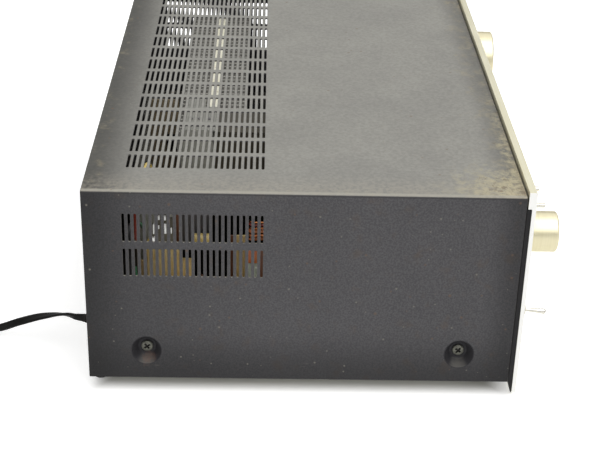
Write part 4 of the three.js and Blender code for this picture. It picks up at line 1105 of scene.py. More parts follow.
def mains_plug():
    """A moulded body with grip ridges, and two flat blades."""
    low, high = box_mm("mains_plug")
    length = high[0] - low[0] - BLADE_LENGTH
    middle = (low[1] + high[1]) / 2
    grips = [block((low[0] + length * k, middle - 12.0, 5.0),
                   (low[0] + length * k + 1.4, middle + 12.0, 15.0), 0.5) for k in PLUG_GRIPS]
    body = together(plug_body(low[0], length, middle), *grips)
    shell = piece("plug_body", body, BLACK_PLASTIC, stands_for=("mains_plug",))
    rows = (middle - BLADE_SPACING, middle + BLADE_SPACING)
    blades = [block((low[0] + length - 2, y - 0.75, 6.85), (high[0], y + 0.75, 13.15), 0.4) for y in rows]
    piece("plug_blades", together(*blades), NICKEL)
    return shell


# Cover

ARC = BEND * math.pi / 2
SIDE_RUN = CASE_TOP - CASE_BOTTOM - BEND
TOP_RUN = 2 * (HALF_WIDTH - BEND)
WHOLE_RUN = 2 * SIDE_RUN + 2 * ARC + TOP_RUN


def folded(points):
    """Sheet coordinates (u along the section, v in depth, w into the case) folded to the case's U:
    up the left side, round a quarter circle, across the top, round again and down the right side."""
    u, v, w = points.T
    first = np.clip(u - SIDE_RUN, 0, ARC) / BEND
    second = np.clip(u - SIDE_RUN - ARC - TOP_RUN, 0, ARC) / BEND
    across = np.clip(u - SIDE_RUN - ARC, 0, TOP_RUN)
    down = np.clip(u - SIDE_RUN - 2 * ARC - TOP_RUN, 0, SIDE_RUN)
    turn = first + second
    x = -HALF_WIDTH + BEND * (1 - np.cos(first)) + across + BEND * np.sin(second) + w * np.cos(turn)
    z = (CASE_BOTTOM + np.minimum(u, SIDE_RUN) + BEND * np.sin(first) - BEND * (1 - np.cos(second)) - down
         - w * np.sin(turn))
    return np.stack([x, v, z], axis=1)


def slot_rows():
    """The middle of each row of slots, as u."""
    pitch = SLOT_LENGTH + SLOT_LAND
    left = SIDE_RUN + BEND - SIDE_SLOT_DROP - SLOT_LENGTH / 2 - pitch * np.arange(SIDE_ROWS)
    top_start = SIDE_RUN + ARC + TOP_RUN / 2 - (TOP_ROWS * pitch - SLOT_LAND) / 2 + SLOT_LENGTH / 2
    return np.concatenate([left, top_start + pitch * np.arange(TOP_ROWS), WHOLE_RUN - left])


def obround(grow):
    """A slot's outline round its middle: two half circles joined by straight sides."""
    radius = SLOT_WIDTH / 2 + grow
    turn = np.linspace(-math.pi / 2, math.pi / 2, SLOT_END_STEPS + 1)
    reach = (SLOT_LENGTH - SLOT_WIDTH) / 2
    end = np.stack([reach + radius * np.cos(turn), radius * np.sin(turn)], axis=1)
    return np.concatenate([end, -end])


def cover_outline(shrink):
    """The sheet's edge, with a point at each step of both bends so that the skin folds there."""
    steps = np.arange(BEND_STEPS + 1) * ARC / BEND_STEPS
    second = SIDE_RUN + ARC + TOP_RUN
    stops = np.concatenate([[shrink], SIDE_RUN + steps, second + steps, [WHOLE_RUN - shrink]])
    front = np.stack([stops, np.full(len(stops), FRONT_Y + shrink)], axis=1)
    rear = np.stack([stops[::-1], np.full(len(stops), REAR_Y - shrink)], axis=1)
    return np.concatenate([front, rear])


def rim(loops, levels, inwards=True):
    """A strip through loops at levels of depth: loops[k] lies at levels[k]."""
    rings = [np.concatenate([loop, np.full((len(loop), 1), level)], axis=1)
             for loop, level in zip(loops, levels)]
    strip = grid(np.stack(rings, axis=1), wrap_u=True)
    return strip if inwards else strip.flipped()


def skin(loops, links, level):
    """A flat skin between an outline, which comes first, and holes, triangulated on their points only."""
    points = np.concatenate(loops)
    starts = np.cumsum([0] + [len(loop) for loop in loops])
    edges = [np.stack([np.arange(len(loop)), np.roll(np.arange(len(loop)), -1)], axis=1) + start
             for loop, start in zip(loops, starts)]
    edges = np.concatenate(edges + [np.asarray(links).reshape(-1, 2)])
    vectors = [Vector(point) for point in points.tolist()]
    found, _, faces, _, _, _ = delaunay_2d_cdt(vectors, edges.tolist(), [], 0, 1e-7)
    faces = np.array([f for f in faces if len(f) == 3])
    owner = np.repeat(np.arange(len(loops)), [len(loop) for loop in loops])[faces]
    filled = (owner == owner[:, :1]).all(axis=1) & (owner[:, 0] > 0)
    flat = np.array(found, float)
    return Shape(np.concatenate([flat, np.full((len(flat), 1), level)], axis=1), (), faces[~filled])


def well_profile(outer, depth_in):
    """The dished wall from the sheet's face to the screw's hole, as (radius, depth)."""
    lip = WELL_LIP if depth_in == 0 else 0.6
    floor_radius = WELL_FLOOR_RADIUS + (outer - WELL_RADIUS)
    corners = [(outer + lip, depth_in), (outer, depth_in), (floor_radius, WELL_DEPTH + depth_in),
               (SHANK_HOLE, WELL_DEPTH + depth_in)]
    return eased(corners, 1.1, 5)


def well_ring(radius):
    """One ring of a well, a little narrower in depth than in height."""
    return circle(radius, WELL_SIDES) * (1.0, WELL_SQUEEZE)


def cover_shell():
    """The cover, drawn flat as u along its section, v in depth and w into the sheet, and then folded:
    two skins round the slots and the wells, and the rims that join them."""
    columns = REAR_Y - SLOT_SETBACK - SLOT_PITCH * np.arange(SLOT_COLUMNS)
    slots = [(u, v) for u in slot_rows() for v in columns]
    wells = [(u, REAR_Y - back) for u in (WELL_RISE, WHOLE_RUN - WELL_RISE) for back in WELL_SETBACKS]
    outer_well, inner_well = well_profile(WELL_RADIUS, 0), well_profile(WELL_RADIUS + SHEET, SHEET)
    bends = 2 * (BEND_STEPS + 1)
    links = [(1 + k, 2 * (bends + 2) - 2 - k) for k in range(bends)]

    def face(well, level):
        """One face of the sheet."""
        holes = [obround(SLOT_EASE) + place for place in slots]
        holes += [well_ring(well[0, 0]) + place for place in wells]
        return skin([cover_outline(SLOT_EASE)] + holes, links, level)

    levels = [0.0, SLOT_EASE, SHEET - SLOT_EASE, SHEET]
    grown = [SLOT_EASE, 0.0, 0.0, SLOT_EASE]
    edge = rim([cover_outline(g) for g in grown], levels, inwards=False).marked(EDGE_MARK)
    slot_rim = rim([obround(g) for g in grown], levels).marked(SLOT_MARK)
    profile = np.concatenate([outer_well, inner_well[::-1]])
    well = rim([well_ring(r) for r in profile[:, 0]], profile[:, 1]).marked(WELL_MARK)
    parts = [face(outer_well, 0.0), face(inner_well, SHEET).flipped(), edge]
    parts += [slot_rim.moved(*place) for place in slots] + [well.moved(*place) for place in wells]
    shape = together(*parts)
    piece("cover_shell", shape.with_points(folded(shape.points)).welded(), CHARCOAL,
          stands_for=("top_cover",), sharp=28)


def screw_head(place, along, turn_by, radius=HEAD_RADIUS, height=HEAD_HEIGHT):
    """A pan head: height = h sqrt(1 - 0.62 (r / R) ^ 4), less the cross, whose walls slope, and less a
    fine turned line."""
    scale = radius / HEAD_RADIUS
    r = np.concatenate([np.linspace(0, 0.72, 22), np.linspace(0.75, 1, 8)]) * radius
    turn = turns(HEAD_SIDES)[:, None] + turn_by
    x, y = r * np.cos(turn - turn_by), r * np.sin(turn - turn_by)

    def within(value, edge):
        """1 within the edge and 0 beyond it: 1 / (1 + exp((|value| - edge) / slope))."""
        return 1 / (1 + np.exp((np.abs(value) - edge * scale) / (CROSS_SLOPE * scale)))

    arms = np.maximum(within(x, CROSS_WIDTH / 2) * within(y, CROSS_LENGTH / 2),
                      within(y, CROSS_WIDTH / 2) * within(x, CROSS_LENGTH / 2))
    rise = height * np.sqrt(np.clip(1 - 0.62 * (r / radius) ** 4, 0, 1)) + 0 * turn
    rise = rise - CROSS_DEPTH * scale * arms * (1.1 - 0.25 * r / radius)
    line_at, line_width, line_depth = HEAD_LINE
    rise = rise - line_depth * (np.abs(r / radius - line_at) < line_width)
    first, second, along = axes_about(along)
    across = np.cos(turn)[..., None] * first + np.sin(turn)[..., None] * second
    place = np.asarray(place, float)
    points = place + (r * np.ones_like(turn))[..., None] * across + rise[..., None] * along
    skirt = place + np.stack([radius * across[:, 0], 0 * across[:, 0]], axis=1)
    head = grid(np.concatenate([points, skirt], axis=1)[:, ::-1], wrap_u=True)
    sunk = np.concatenate([arms, 0 * arms[:, :2]], axis=1)[:, ::-1].ravel()
    head.quad_marks = (sunk[head.quads].mean(axis=1) > 0.35).astype(float)
    return head.welded()


def cover_screws():
    """Four pan heads with turned shanks, each on the floor of its well."""
    for hand, side in (("left", -1), ("right", 1)):
        for end, back, turn_by in zip(("rear", "front"), WELL_SETBACKS, (0.62, 0.9)):
            place = (side * (HALF_WIDTH - WELL_DEPTH + TOUCH), REAR_Y - back, CASE_BOTTOM + WELL_RISE)
            along = (side, 0, 0)
            shank = lathe([(0, -7.0), (1.4, -7.0), (1.9, -6.2), (1.9, 0.1), (0, 0.1)], place, along, 20)
            piece(f"screw_{end}_{hand}", together(screw_head(place, along, turn_by), shank), SCREW,
                  stands_for=(f"cover_screw_{end}_{hand}",))


# Controls on the front

def knobs():
    """Knobs: a profile of radius over length with a chamfer and a dished face, turned about the shaft's
    axis, and a dark stroke on the face."""
    for name, (radius, length) in CONTROLS.items():
        place, _ = rear_face(f"{name}_knob")
        dish = radius - 1.6
        profile = eased([(0, 0), (radius - 0.6, 0), (radius, 0.6), (radius, length - KNOB_CHAMFER),
                         (radius - KNOB_CHAMFER, length), (dish, length), (dish - 0.5, length - 0.35),
                         (dish * 0.55, length - 0.45), (0, length - 0.45)], 0.18, 2)
        piece(f"{name}_grip", lathe(profile, place, FORWARD, KNOB_SIDES), KNOB, f"{name}_control",
              (f"{name}_knob",), 25)
        half = POINTER_WIDTH / 2
        front = place[1] - length
        stroke = block((place[0] - half, front + 0.15, place[2] + radius * 0.45),
                       (place[0] + half, front + 0.6, place[2] + dish - 0.4), 0.1, 1)
        piece(f"{name}_pointer", stroke, BLACK_PLASTIC, f"{name}_control")


def dial_marks():
    """Plain strokes on the panel round each rotary control, evenly over its range."""
    strokes = []
    for name, (reach, count) in DIALS.items():
        place, _ = rear_face(f"{name}_knob")
        foot = place[2] + CONTROLS[name][0] + DIAL_GAP
        for degrees in np.linspace(-reach, reach, count):
            turn = math.radians(degrees)
            rows = [(math.cos(turn), 0, math.sin(turn)), (0, 1, 0), (-math.sin(turn), 0, math.cos(turn))]
            stroke = block((place[0] - 0.3, PANEL_FRONT_Y - DIAL_LIFT, foot),
                           (place[0] + 0.3, PANEL_FRONT_Y + 0.2, foot + DIAL_STROKE), 0.02, 1)
            strokes.append(stroke.turned(rows, place))
    piece("dial_marks", together(*strokes), BLACK_PLASTIC)


def toggle_switches():
    """Two switches: a body, a threaded bush with a nut on the panel, and a lever on a ball, all turned
    profiles. The ball is radius = b sin a and length = -b cos a."""
    body_face = box_mm("front_sub_panel")[1][1] + TOUCH
    for name in ("power", "tape"):
        low, high = box_mm(f"{name}_switch")
        x, z = (low[0] + high[0]) / 2, (low[2] + high[2]) / 2
        reach = body_face - low[1]
        thread = [(4.6 - THREAD_DEPTH * (k % 2), 2.2 + THREAD_PITCH * k) for k in range(THREAD_TURNS)]
        outline = [(3.1, 0.2), (3.1, reach), (4.3, reach), (4.6, reach - 0.4), *thread[::-1], (4.6, 0.2)]
        bush = lathe(eased(outline[::-1], 0.06, 1, True), (x, body_face, z), FORWARD, 64, closed=True)
        nut = lathe(eased([(3.2, 0), (6.4, 0), (6.4, 0.9), (6.0, 1.3), (3.2, 1.3)], 0.2, 2, True),
                    (x, PANEL_FRONT_Y - 0.05, z), FORWARD, 6 * 12, closed=True)
        body = block((low[0], body_face, low[2]), high, 0.6)
        piece(f"{name}_bush", together(bush, nut, body), NICKEL,
              stands_for=(f"{name}_switch",))
        along = (0, -math.cos(LEVER_TILT), -math.sin(LEVER_TILT))
        ball = [(LEVER_BALL * math.sin(a), -LEVER_BALL * math.cos(a))
                for a in np.linspace(0, math.pi * 0.86, 10)]
        end = LEVER_LENGTH
        stem = [(1.3, 4.2), (1.35, 8.0), (1.75, end - 4.0), (2.0, end - 2.2), (1.9, end - 0.8),
                (1.3, end - 0.15), (0, end)]
        stick = lathe(ball + stem, (x, PANEL_FRONT_Y - 3.0, z), along, 40)
        piece(f"{name}_stick", stick, NICKEL, f"{name}_lever", (f"{name}_lever",), 50)


def speaker_buttons():
    """Two push buttons: a turned stem with a stop collar and a round end."""
    for letter in "ab":
        name = f"speaker_button_{letter}"
        place, length = rear_face(name)
        profile = eased([(0, 0), (1.6, 0), (1.6, 6.0), (2.8, 6.0), (2.8, 8.0), (1.6, 8.0),
                         (1.6, length - 0.3), (1.1, length), (0, length)], 0.25, 3)
        piece(f"push_button_{letter}", lathe(profile, place, FORWARD, 32), NICKEL, name, (name,))


def headphone_ring():
    """The socket: a ring's profile with a flange, turned about its bore."""
    place, length = rear_face("headphone_jack")
    flange = length - 1.6
    ring = eased([(3.2, 0), (5.0, 0), (5.0, flange), (6.4, flange), (6.4, length - 0.5), (5.6, length),
                  (3.9, length), (3.2, length - 0.7)], 0.25, 2, True)
    piece("phones_ring", lathe(ring, place, FORWARD, 64, closed=True), NICKEL,
          stands_for=("headphone_jack",))


# Rear fittings and feet

def phono_jacks():
    """A board with two rows of jacks, each a turned metal sleeve round a turned coloured insulator."""
    low, high = box_mm("phono_jack_block")
    middle = (low + high) / 2
    plate_y = low[1] + 2.4
    plate = block(low, (high[0], plate_y, high[2]), 0.7)
    piece("phono_plate", plate, PHENOLIC, stands_for=("phono_jack_block",))
    reach = high[1] - plate_y + 0.3
    shell = eased([(3.5, 0.1), (6.2, 0.1), (6.2, 0.9), (4.2, 1.0), (4.2, reach), (3.5, reach)],
                  0.2, 2, True)
    lining = eased([(1.6, 0.2), (3.45, 0.2), (3.45, reach - 0.6), (1.6, reach - 0.6)], 0.15, 2, True)
    sleeves, linings = [], {-1: [], 1: []}
    for column in range(JACK_COLUMNS):
        x = middle[0] + (column - (JACK_COLUMNS - 1) / 2) * JACK_PITCH[0]
        for row in (-1, 1):
            place = (x, plate_y - 0.3, middle[2] + row * JACK_PITCH[1])
            sleeves.append(lathe(shell, place, BACK, 40, closed=True))
            linings[row].append(lathe(lining, place, BACK, 32, closed=True))
    piece("phono_sleeves", together(*sleeves), NICKEL)
    piece("phono_insulators_red", together(*linings[1]), RED_PLASTIC)
    piece("phono_insulators_ivory", together(*linings[-1]), IVORY_PLASTIC)


def speaker_terminals():
    """The terminals' body, and four tabs with ribs on their faces."""
    soft_copy("terminal_body", "speaker_terminal_block", BLACK_PLASTIC, 0.4)
    c, s = math.cos(TAB_LEAN), math.sin(TAB_LEAN)
    for i in range(1, 5):
        material, slot = (RED_PLASTIC, "red_plastic") if i % 2 else (BLACK_PLASTIC, "black_plastic")
        tab = f"speaker_tab_{i}"
        soft_copy(f"terminal_tab_{i}", tab, material, 0.35, tab)
        pin = np.array([rear_face(tab)[0][0], *TAB_PIN])
        ribs = [block(pin + (-4.6, 1.3, -13.6 + 2.2 * k), pin + (4.6, 2.1, -12.7 + 2.2 * k), 0.35, 1)
                for k in range(TAB_RIBS)]
        leaning = together(*ribs).turned([(1, 0, 0), (0, c, -s), (0, s, c)], pin)
        piece(f"tab_ribs_{i}", leaning, material, tab)


def ground_post():
    """A turned stud, and a cap whose radius drops by a share of 0.5 - 0.5 cos(36 a) over its turn a."""
    place, length = rear_face("ground_post", 0)
    stud = lathe([(0, 0), (2.0, 0), (2.0, 7.2), (0, 7.2)], place, BACK, 24)
    cap = eased([(0, 7.05), (4.9, 7.05), (5.5, 7.6), (5.5, length - 1.6), (4.9, length - 1.0),
                 (3.0, length), (0, length)], 0.3, 2)
    knurl = lathe(cap, place, BACK, 144, flutes=36, flute_depth=0.35)
    piece("ground_knob", together(stud, knurl), NICKEL, "ground_post", ("ground_post",), 50)


def rear_panel_screws():
    """Two rows of small pan heads on the rear panel."""
    low, high = box_mm("rear_panel")
    heads = [screw_head((x, high[1] - 0.02, z), BACK, x, *PANEL_HEAD)
             for x in (low[0] + 7, -70, 70, high[0] - 7) for z in (low[2] + 7, high[2] - 7)]
    piece("rear_panel_screws", together(*heads), SCREW)


def feet():
    """Four feet: a turned profile with a hollow tread and a groove round the side."""
    for end in ("rear", "front"):
        for hand in ("left", "right"):
            name = f"foot_{end}_{hand}"
            low, high = box_mm(name)
            middle = (low + high) / 2
            radius = (high[0] - low[0]) / 2
            tread = radius - 0.6
            profile = eased([(0, 1.4), (2.2, 1.4), (2.2, 0), (tread, 0), (radius, 3.6), (radius, 5.6),
                             (radius - 0.3, 5.9), (radius - 0.3, 6.5), (radius, 6.8), (radius, high[2]),
                             (0, high[2])], 0.3, 3)
            piece(f"{name}_rubber", lathe(profile, (middle[0], middle[1], 0), UP, 48), RUBBER,
                  stands_for=(name,))


# Parts inside

def transformer():
    """A stack of plates round a taped winding, with loops of wire by its rear end. The winding is the
    section |x / a| ^ 7 + |z / b| ^ 7 = 1 carried along y, with waves of tape near both ends."""
    soft_copy("core_stack", "transformer_core", laminated_steel(), 0.5)
    low, high = box_mm("transformer_winding")
    middle, half = (low + high) / 2, (high - low) / 2
    c, s, size = squarish(turns(96)[:, None], WINDING_POWER)
    y = np.concatenate([[-1, -1], np.linspace(-1, 1, 121), [1, 1]])
    draw = np.ones(len(y))
    draw[[0, -1]] = 0
    draw[[1, -2]] = 0.9
    waves = 0.5 - 0.5 * np.cos(y * half[1] * TAU / RIDGE_PITCH)
    ridges = 1 - RIDGE_DEPTH * waves * (np.abs(y) > 0.55)
    x = middle[0] + (half[0] - 0.2) * size * c * draw * ridges
    z = middle[2] + (half[2] - 0.2) * size * s * draw * ridges
    points = np.stack([x, np.broadcast_to(middle[1] + y * half[1], x.shape), z], axis=-1)
    winding = grid(points, wrap_u=True).welded()
    piece("winding_wrap", winding, TAPE, stands_for=("transformer_winding",), sharp=50)
    bands = []
    for k, lift in enumerate((0.5, 0.3, 0.4)):
        y = high[1] - 2.2 - 3.6 * k
        bands.append(block((low[0] - 0.5, y - 0.8, low[2] - 0.4),
                           (high[0] + 0.5, y + 0.8, high[2] + lift), 0.5))
    piece("winding_bands", together(*bands), COPPER)


def capacitors():
    """Two sleeved cans: a turned profile with a crimped groove and a sunk top."""
    for hand in ("left", "right"):
        low, high = box_mm(f"filter_capacitor_{hand}")
        middle, radius, height = (low + high) / 2, (high[0] - low[0]) / 2, high[2] - low[2]
        profile = eased([(0, 0), (radius, 0), (radius, height * 0.9), (radius - 1.0, height * 0.92),
                         (radius - 1.0, height * 0.935), (radius, height * 0.95), (radius, height - 0.8),
                         (radius - 2.0, height), (radius - 3.0, height - 0.9), (0, height - 0.9)], 0.5, 3)
        piece(f"capacitor_can_{hand}", lathe(profile, (middle[0], middle[1], low[2]), UP, 64), SLEEVE,
              stands_for=(f"filter_capacitor_{hand}",))


def resistor(place, along, length):
    """A small body with swollen ends on two leads: over its length h from -1 to 1, radius =
    r (0.86 + 0.14 cos^2(pi h)) sqrt(1 - h ^ 16)."""
    h = np.linspace(-1, 1, 13)[1:-1]
    body = RESISTOR_RADIUS * (0.86 + 0.14 * np.cos(math.pi * np.abs(h)) ** 2) * (1 - h ** 16) ** 0.5
    half = length / 2 + 0.01
    lower, upper = [(0, -length), (0.3, -length), (0.3, -half)], [(0.3, half), (0.3, length), (0, length)]
    return lathe([*lower, *np.stack([body, h * length / 2], axis=1), *upper], place, along, 8)


def small_can(place, radius, height):
    """A small can: a turned profile with a crimped groove near its top."""
    profile = eased([(0, 0), (radius, 0), (radius, height - 1.4), (radius - 0.35, height - 1.1),
                     (radius, height - 0.8), (radius, height), (radius - 0.7, height), (0, height - 0.3)],
                    0.25, 2)
    return lathe(profile, place, UP, 20)


def small_part(draw, kind, x, y, top):
    """One part of the given kind on a board."""
    across = (1, 0, 0) if draw.random() < 0.5 else (0, 1, 0)
    if kind == CAN:
        return small_can((x, y, top + 0.1), draw.uniform(3.2, 5.0), draw.uniform(9, 20))
    if kind == RESISTOR:
        return resistor((x, y, top + 1.6), across, draw.uniform(6, 8))
    half_x, half_y, foot, height, ease = BLOCK_SIZES[kind]
    return block((x - half_x, y - half_y, top + foot), (x + half_x, y + half_y, top + height), ease)


def board_parts():
    """Small parts set out on both boards, each clear of the others and of the relay."""
    draw = np.random.default_rng(BOARD_SEED)
    made = [[] for _ in range(RESISTOR + 1)]
    relay_low, relay_high = box_mm("speaker_relay")
    for board, count in BOARD_COUNTS.items():
        low, high = box_mm(board)
        taken = [(relay_low[0] - 3, relay_low[1] - 3, relay_high[0] + 3, relay_high[1] + 3)]
        for _ in range(count):
            x, y = draw.uniform(low[0] + 7, high[0] - 9), draw.uniform(low[1] + 7, high[1] - 7)
            kind = min(int(draw.integers(0, 6)), RESISTOR)
            reach = 5.5 if kind in (CAN, TRANSISTOR) else 4.2
            if any(a < x + reach and x - reach < c and b < y + reach and y - reach < d
                   for a, b, c, d in taken):
                continue
            taken.append((x - reach, y - reach, x + reach, y + reach))
            made[kind].append(small_part(draw, kind, x, y, high[2]))
    piece("board_cans", together(*made[CAN]), SLEEVE)
    piece("board_amber_parts", together(*made[AMBER_FILM]), AMBER)
    piece("board_brown_parts", together(*made[BROWN_FILM]), BROWN_PART)
    piece("board_black_parts", together(*made[TRANSISTOR]), BLACK_PLASTIC)
    piece("board_resistors", together(*made[RESISTOR]), TAN_CARD)


def rising(x, y, z, width, depth, height, ease=0.4):
    """A block by its middle in x and y, its foot and its sizes."""
    return block((x - width / 2, y - depth / 2, z), (x + width / 2, y + depth / 2, z + height), ease)


def cards():
    """Upright cards behind the slots, on the board or the floor."""
    fibre = [rising(-139.4, 109.8, ON_BOARD, 1.6, 24.4, 51.5),
             rising(-139.4, 92.2, ON_BOARD, 1.6, 8.6, 43.0),
             rising(-99.7, 54.2, ON_FLOOR, 1.6, 9.2, 49.5)]
    piece("fibre_cards", together(*fibre), TAN_CARD)
    piece("low_card", rising(-139.4, 124.7, ON_BOARD, 1.6, 4.6, 40.0), PHENOLIC)
    piece("dark_card", rising(-28.0, 115.8, ON_FLOOR, 1.6, 22.4, 130.0), DARK_CARD)
    brown = [rising(-117.0, 100.9, ON_BOARD, 1.2, 3.8, 73.0), rising(-99.7, 60.9, ON_FLOOR, 1.6, 3.0, 49.5),
             rising(-181.0, 37.7, ON_FLOOR, 5.0, 4.6, 83.0)]
    piece("brown_cards", together(*brown), BROWN_PART)


def shields():
    """A dusty shield with its rivets and foot, and a dark cover before the heat sink."""
    shield = [rising(-117.0, 116.2, ON_BOARD, 1.2, 26.0, 73.0),
              block((-70.9, 76.3, 100.2), (-69.5, 100.9, 135.7), 0.4),
              block((-70.9, 74.4, 134.9), (-25.5, 98.6, 136.1), 0.4),
              block((-25.9, 83.8, 134.9), (-6.0, 98.6, 136.1), 0.4)]
    piece("dusty_shields", together(*shield), SHIELD)
    piece("shield_foot", block((-70.9, 76.3, BOARD_TOP), (-69.5, 100.9, 100.0), 0.4), DULL_STEEL)
    profile = eased([(0, 0), (1.9, 0), (1.7, 0.8), (0, 1.1)], 0.4, 2)
    rivets = [lathe(profile, (x, y, 136.0), UP, 16)
              for x in (-64.0, -50.0, -36.0) for y in (80.0, 87.0, 94.0)]
    piece("shield_rivets", together(*rivets), DULL_STEEL)
    sink_cover = [block((-69.8, 34.0, ON_BOARD), (-68.6, 75.8, 132.6), 0.3),
                  block((-69.8, 34.0, 133.1), (-31.0, 75.8, 134.1), 0.3)]
    piece("sink_cover", together(*sink_cover), UMBER)


def stands():
    """Near-black stands among the cards, whose colour is painted shade seen through the slots, and two film
    parts.
    """
    upright = [rising(-98.0, 85.5, ON_BOARD, 9.0, 19.0, 29.6),
               rising(-82.0, 70.6, ON_BOARD, 12.0, 12.6, 70.0),
               rising(-86.0, 57.0, ON_BOARD, 5.0, 13.0, 60.0),
               rising(-112.0, 137.2, ON_BOARD, 6.0, 13.6, 74.0),
               rising(-139.4, 92.2, ON_BOARD + 43.2, 4.0, 8.6, 10.0),
               rising(-97.0, 70.0, ON_BOARD, 18.0, 14.0, 12.0)]
    raised = [block((-168.0, 35.0, 88.0), (-158.0, 48.2, 118.0), 0.4),
              block((-168.0, 47.0, 100.0), (-158.0, 52.0, 118.0), 0.4),
              block((-30.6, 104.0, 100.5), (-29.0, 114.5, 113.5), 0.4)]
    piece("shade_black_stands", together(*upright, *raised), SHADE_BLACK)
    profile = eased([(0, 0), (5.2, 0), (5.2, 1.2), (4.8, 1.6), (5.2, 2.0), (5.2, 13.6), (0, 13.6)], 0.5, 2)
    lying = lathe(profile, (-98.0, 76.2, 56.4), BACK, 28)
    film = rising(-108.0, 124.0, ON_BOARD, 8.0, 4.0, 36.0, 1.2)
    piece("amber_film_parts", together(lying, film), AMBER)


def ceramic_row():
    """A carrier behind the sheet between both rows of slots, with small ceramic parts on its stems."""
    carrier = [block((-202.0, 97.0, 105.2), (-198.0, 141.0, 108.2), 0.4),
               rising(-200.0, 138.8, ON_BOARD, 4.0, 4.0, 84.0)]
    stems = [rising(-199.8, y, 108.0, 1.6, width, height, 0.3) for y, width, height in
             ((111.4, 1.0, 16.0), (107.3, 2.8, 22.6), (103.3, 2.8, 22.6), (99.2, 2.4, 20.0))]
    piece("ceramic_carrier", together(*carrier, *stems), UMBER)
    ware = [rising(-200.2, y, z, 3.2, width, height, 0.5) for y, z, width, height in
            ((111.3, 109.4, 1.9, 4.0), (111.1, 116.0, 1.1, 7.6), (107.4, 126.8, 1.3, 3.6),
             (107.6, 119.8, 0.9, 3.0), (103.3, 126.6, 1.5, 3.6), (103.2, 116.4, 1.5, 7.8),
             (99.2, 116.6, 0.9, 4.6))]
    piece("ceramic_parts", together(*ware), WHITE_WARE)
    piece("label_strip", rising(-181.0, 44.9, ON_FLOOR, 6.0, 9.2, 72.0), OLIVE)
    piece("terminal_cap", rising(-181.0, 44.9, ON_FLOOR + 72.2, 6.6, 9.4, 11.0, 0.8), TAPE)


def coil_lead(lift, radius, spread):
    """A lead that rises from the winding, runs back at the given height and drops at its end."""
    return wire([(-150 - spread, 8 + 2 * spread, 87.4), (-166, 16, lift - 7), (-173 + spread, 27, lift),
                 (-173 + spread, 38, lift + 0.4), (-172 + 0.8 * spread, 45.4, lift),
                 (-164, 48.4, lift - 0.6)], radius)


# Leads as the points of each path and its radius
RED_PATHS = (
    ([(-150, 124, ON_BOARD), (-152, 127.5, 60), (-148, 128.5, 92), (-134, 127.5, 101), (-112, 124.5, 96),
      (-96, 116, 60), (-86, 113, 30), (-80, 111, ON_FLOOR)], 1.2),
    ([(-196, 141, ON_BOARD), (-197, 141, 98), (-190, 138.6, 130), (-180, 131.5, 141), (-168, 128.2, 142),
      (-161, 127.6, 136), (-157, 128.0, 112), (-154, 129.6, 92), (-146, 134, 60),
      (-140, 137, ON_BOARD)], 1.2),
)
GREEN_PATH = [(-154, 125.5, ON_BOARD), (-157, 128.5, 56), (-152, 129.6, 82), (-138, 128.4, 90),
              (-112, 124.5, 70), (-88, 117, 40), (-76, 113, ON_FLOOR)]
YELLOW_PATHS = (
    ([(-130, 122, ON_BOARD), (-131, 124.8, 40), (-128, 123.8, 62), (-112, 121.0, 66), (-100, 112.0, 50),
      (-92, 108.0, ON_BOARD)], 1.1),
    ([(-190, 142, ON_BOARD), (-190, 142.5, 96), (-187, 139.6, 128), (-179, 130, 139.5), (-166, 121.6, 144),
      (-152, 118.6, 145), (-143, 117.4, 137), (-132, 117.0, 114), (-118, 116.4, 95)], 1.5),
)
BLACK_PATHS = (
    ([(-186, 133, ON_BOARD), (-187, 132, 60), (-180, 131, 104), (-160, 131, 100), (-140, 132, 60),
      (-132, 132, ON_BOARD)], 2.2),
    ([(-192, 127, ON_BOARD), (-193, 128, 62), (-186, 128.4, 96), (-168, 128, 90), (-150, 130, 50),
      (-142, 130, ON_BOARD)], 2.0),
    ([(-182, 121, ON_BOARD), (-184, 125, 58), (-178, 133.5, 80), (-158, 134, 74),
      (-146, 134, ON_BOARD)], 2.0),
)


def leads():
    """Round leads between the boards, the winding and the floor."""
    copper = [coil_lead(111.0, 0.55, 0), coil_lead(105.4, 0.55, 2), coil_lead(99.0, 1.5, 4)]
    piece("copper_leads", together(*copper), COPPER)
    orange = [coil_lead(102.6, 1.4, 3), coil_lead(95.6, 1.2, 5)]
    piece("orange_leads", together(*orange), TAPE)
    red = [wire(*path) for path in RED_PATHS] + [coil_lead(108.4, 0.8, 1)]
    piece("red_leads", together(*red), RED_WIRE)
    piece("green_lead", together(wire(GREEN_PATH, 1.2)), GREEN_WIRE)
    piece("yellow_leads", together(*[wire(*path) for path in YELLOW_PATHS]), YELLOW_WIRE)
    piece("black_leads", together(*[wire(*path) for path in BLACK_PATHS]), BLACK_PLASTIC)


def finish_nodes():
    """The nodes that stay as they are get their finish."""
    kept = {
        "chassis": ZINC, "heat_sink": SINK, "button_switch_bank": BLACK_PLASTIC, "power_board": PHENOLIC,
        "preamp_board": PHENOLIC,
    }
    for name in CONTROLS:
        kept[f"{name}_shaft"] = NICKEL
    for name in ("speaker_switch", "input_switch", "bass_pot", "treble_pot", "volume_pot"):
        kept[name] = ZINC
    for name, material in kept.items():
        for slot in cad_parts[name].material_slots:
            slot.material = material


def small_bodies():
    """The panels, the modules, the relay and the rail, with rounded edges."""
    soft_copy("panel_plate", "front_panel", CHAMPAGNE, 0.3)
    soft_copy("sub_panel_plate", "front_sub_panel", BLACK_STEEL, 0.3)
    soft_copy("rail_strip", "heat_sink_rail", CREAM, 0.3)
    soft_copy("relay_cover", "speaker_relay", AMBER, 1.2)
    for hand in ("left", "right"):
        soft_copy(f"module_{hand}", f"power_module_{hand}", BLACK_PLASTIC, 0.8)


# Floor and light

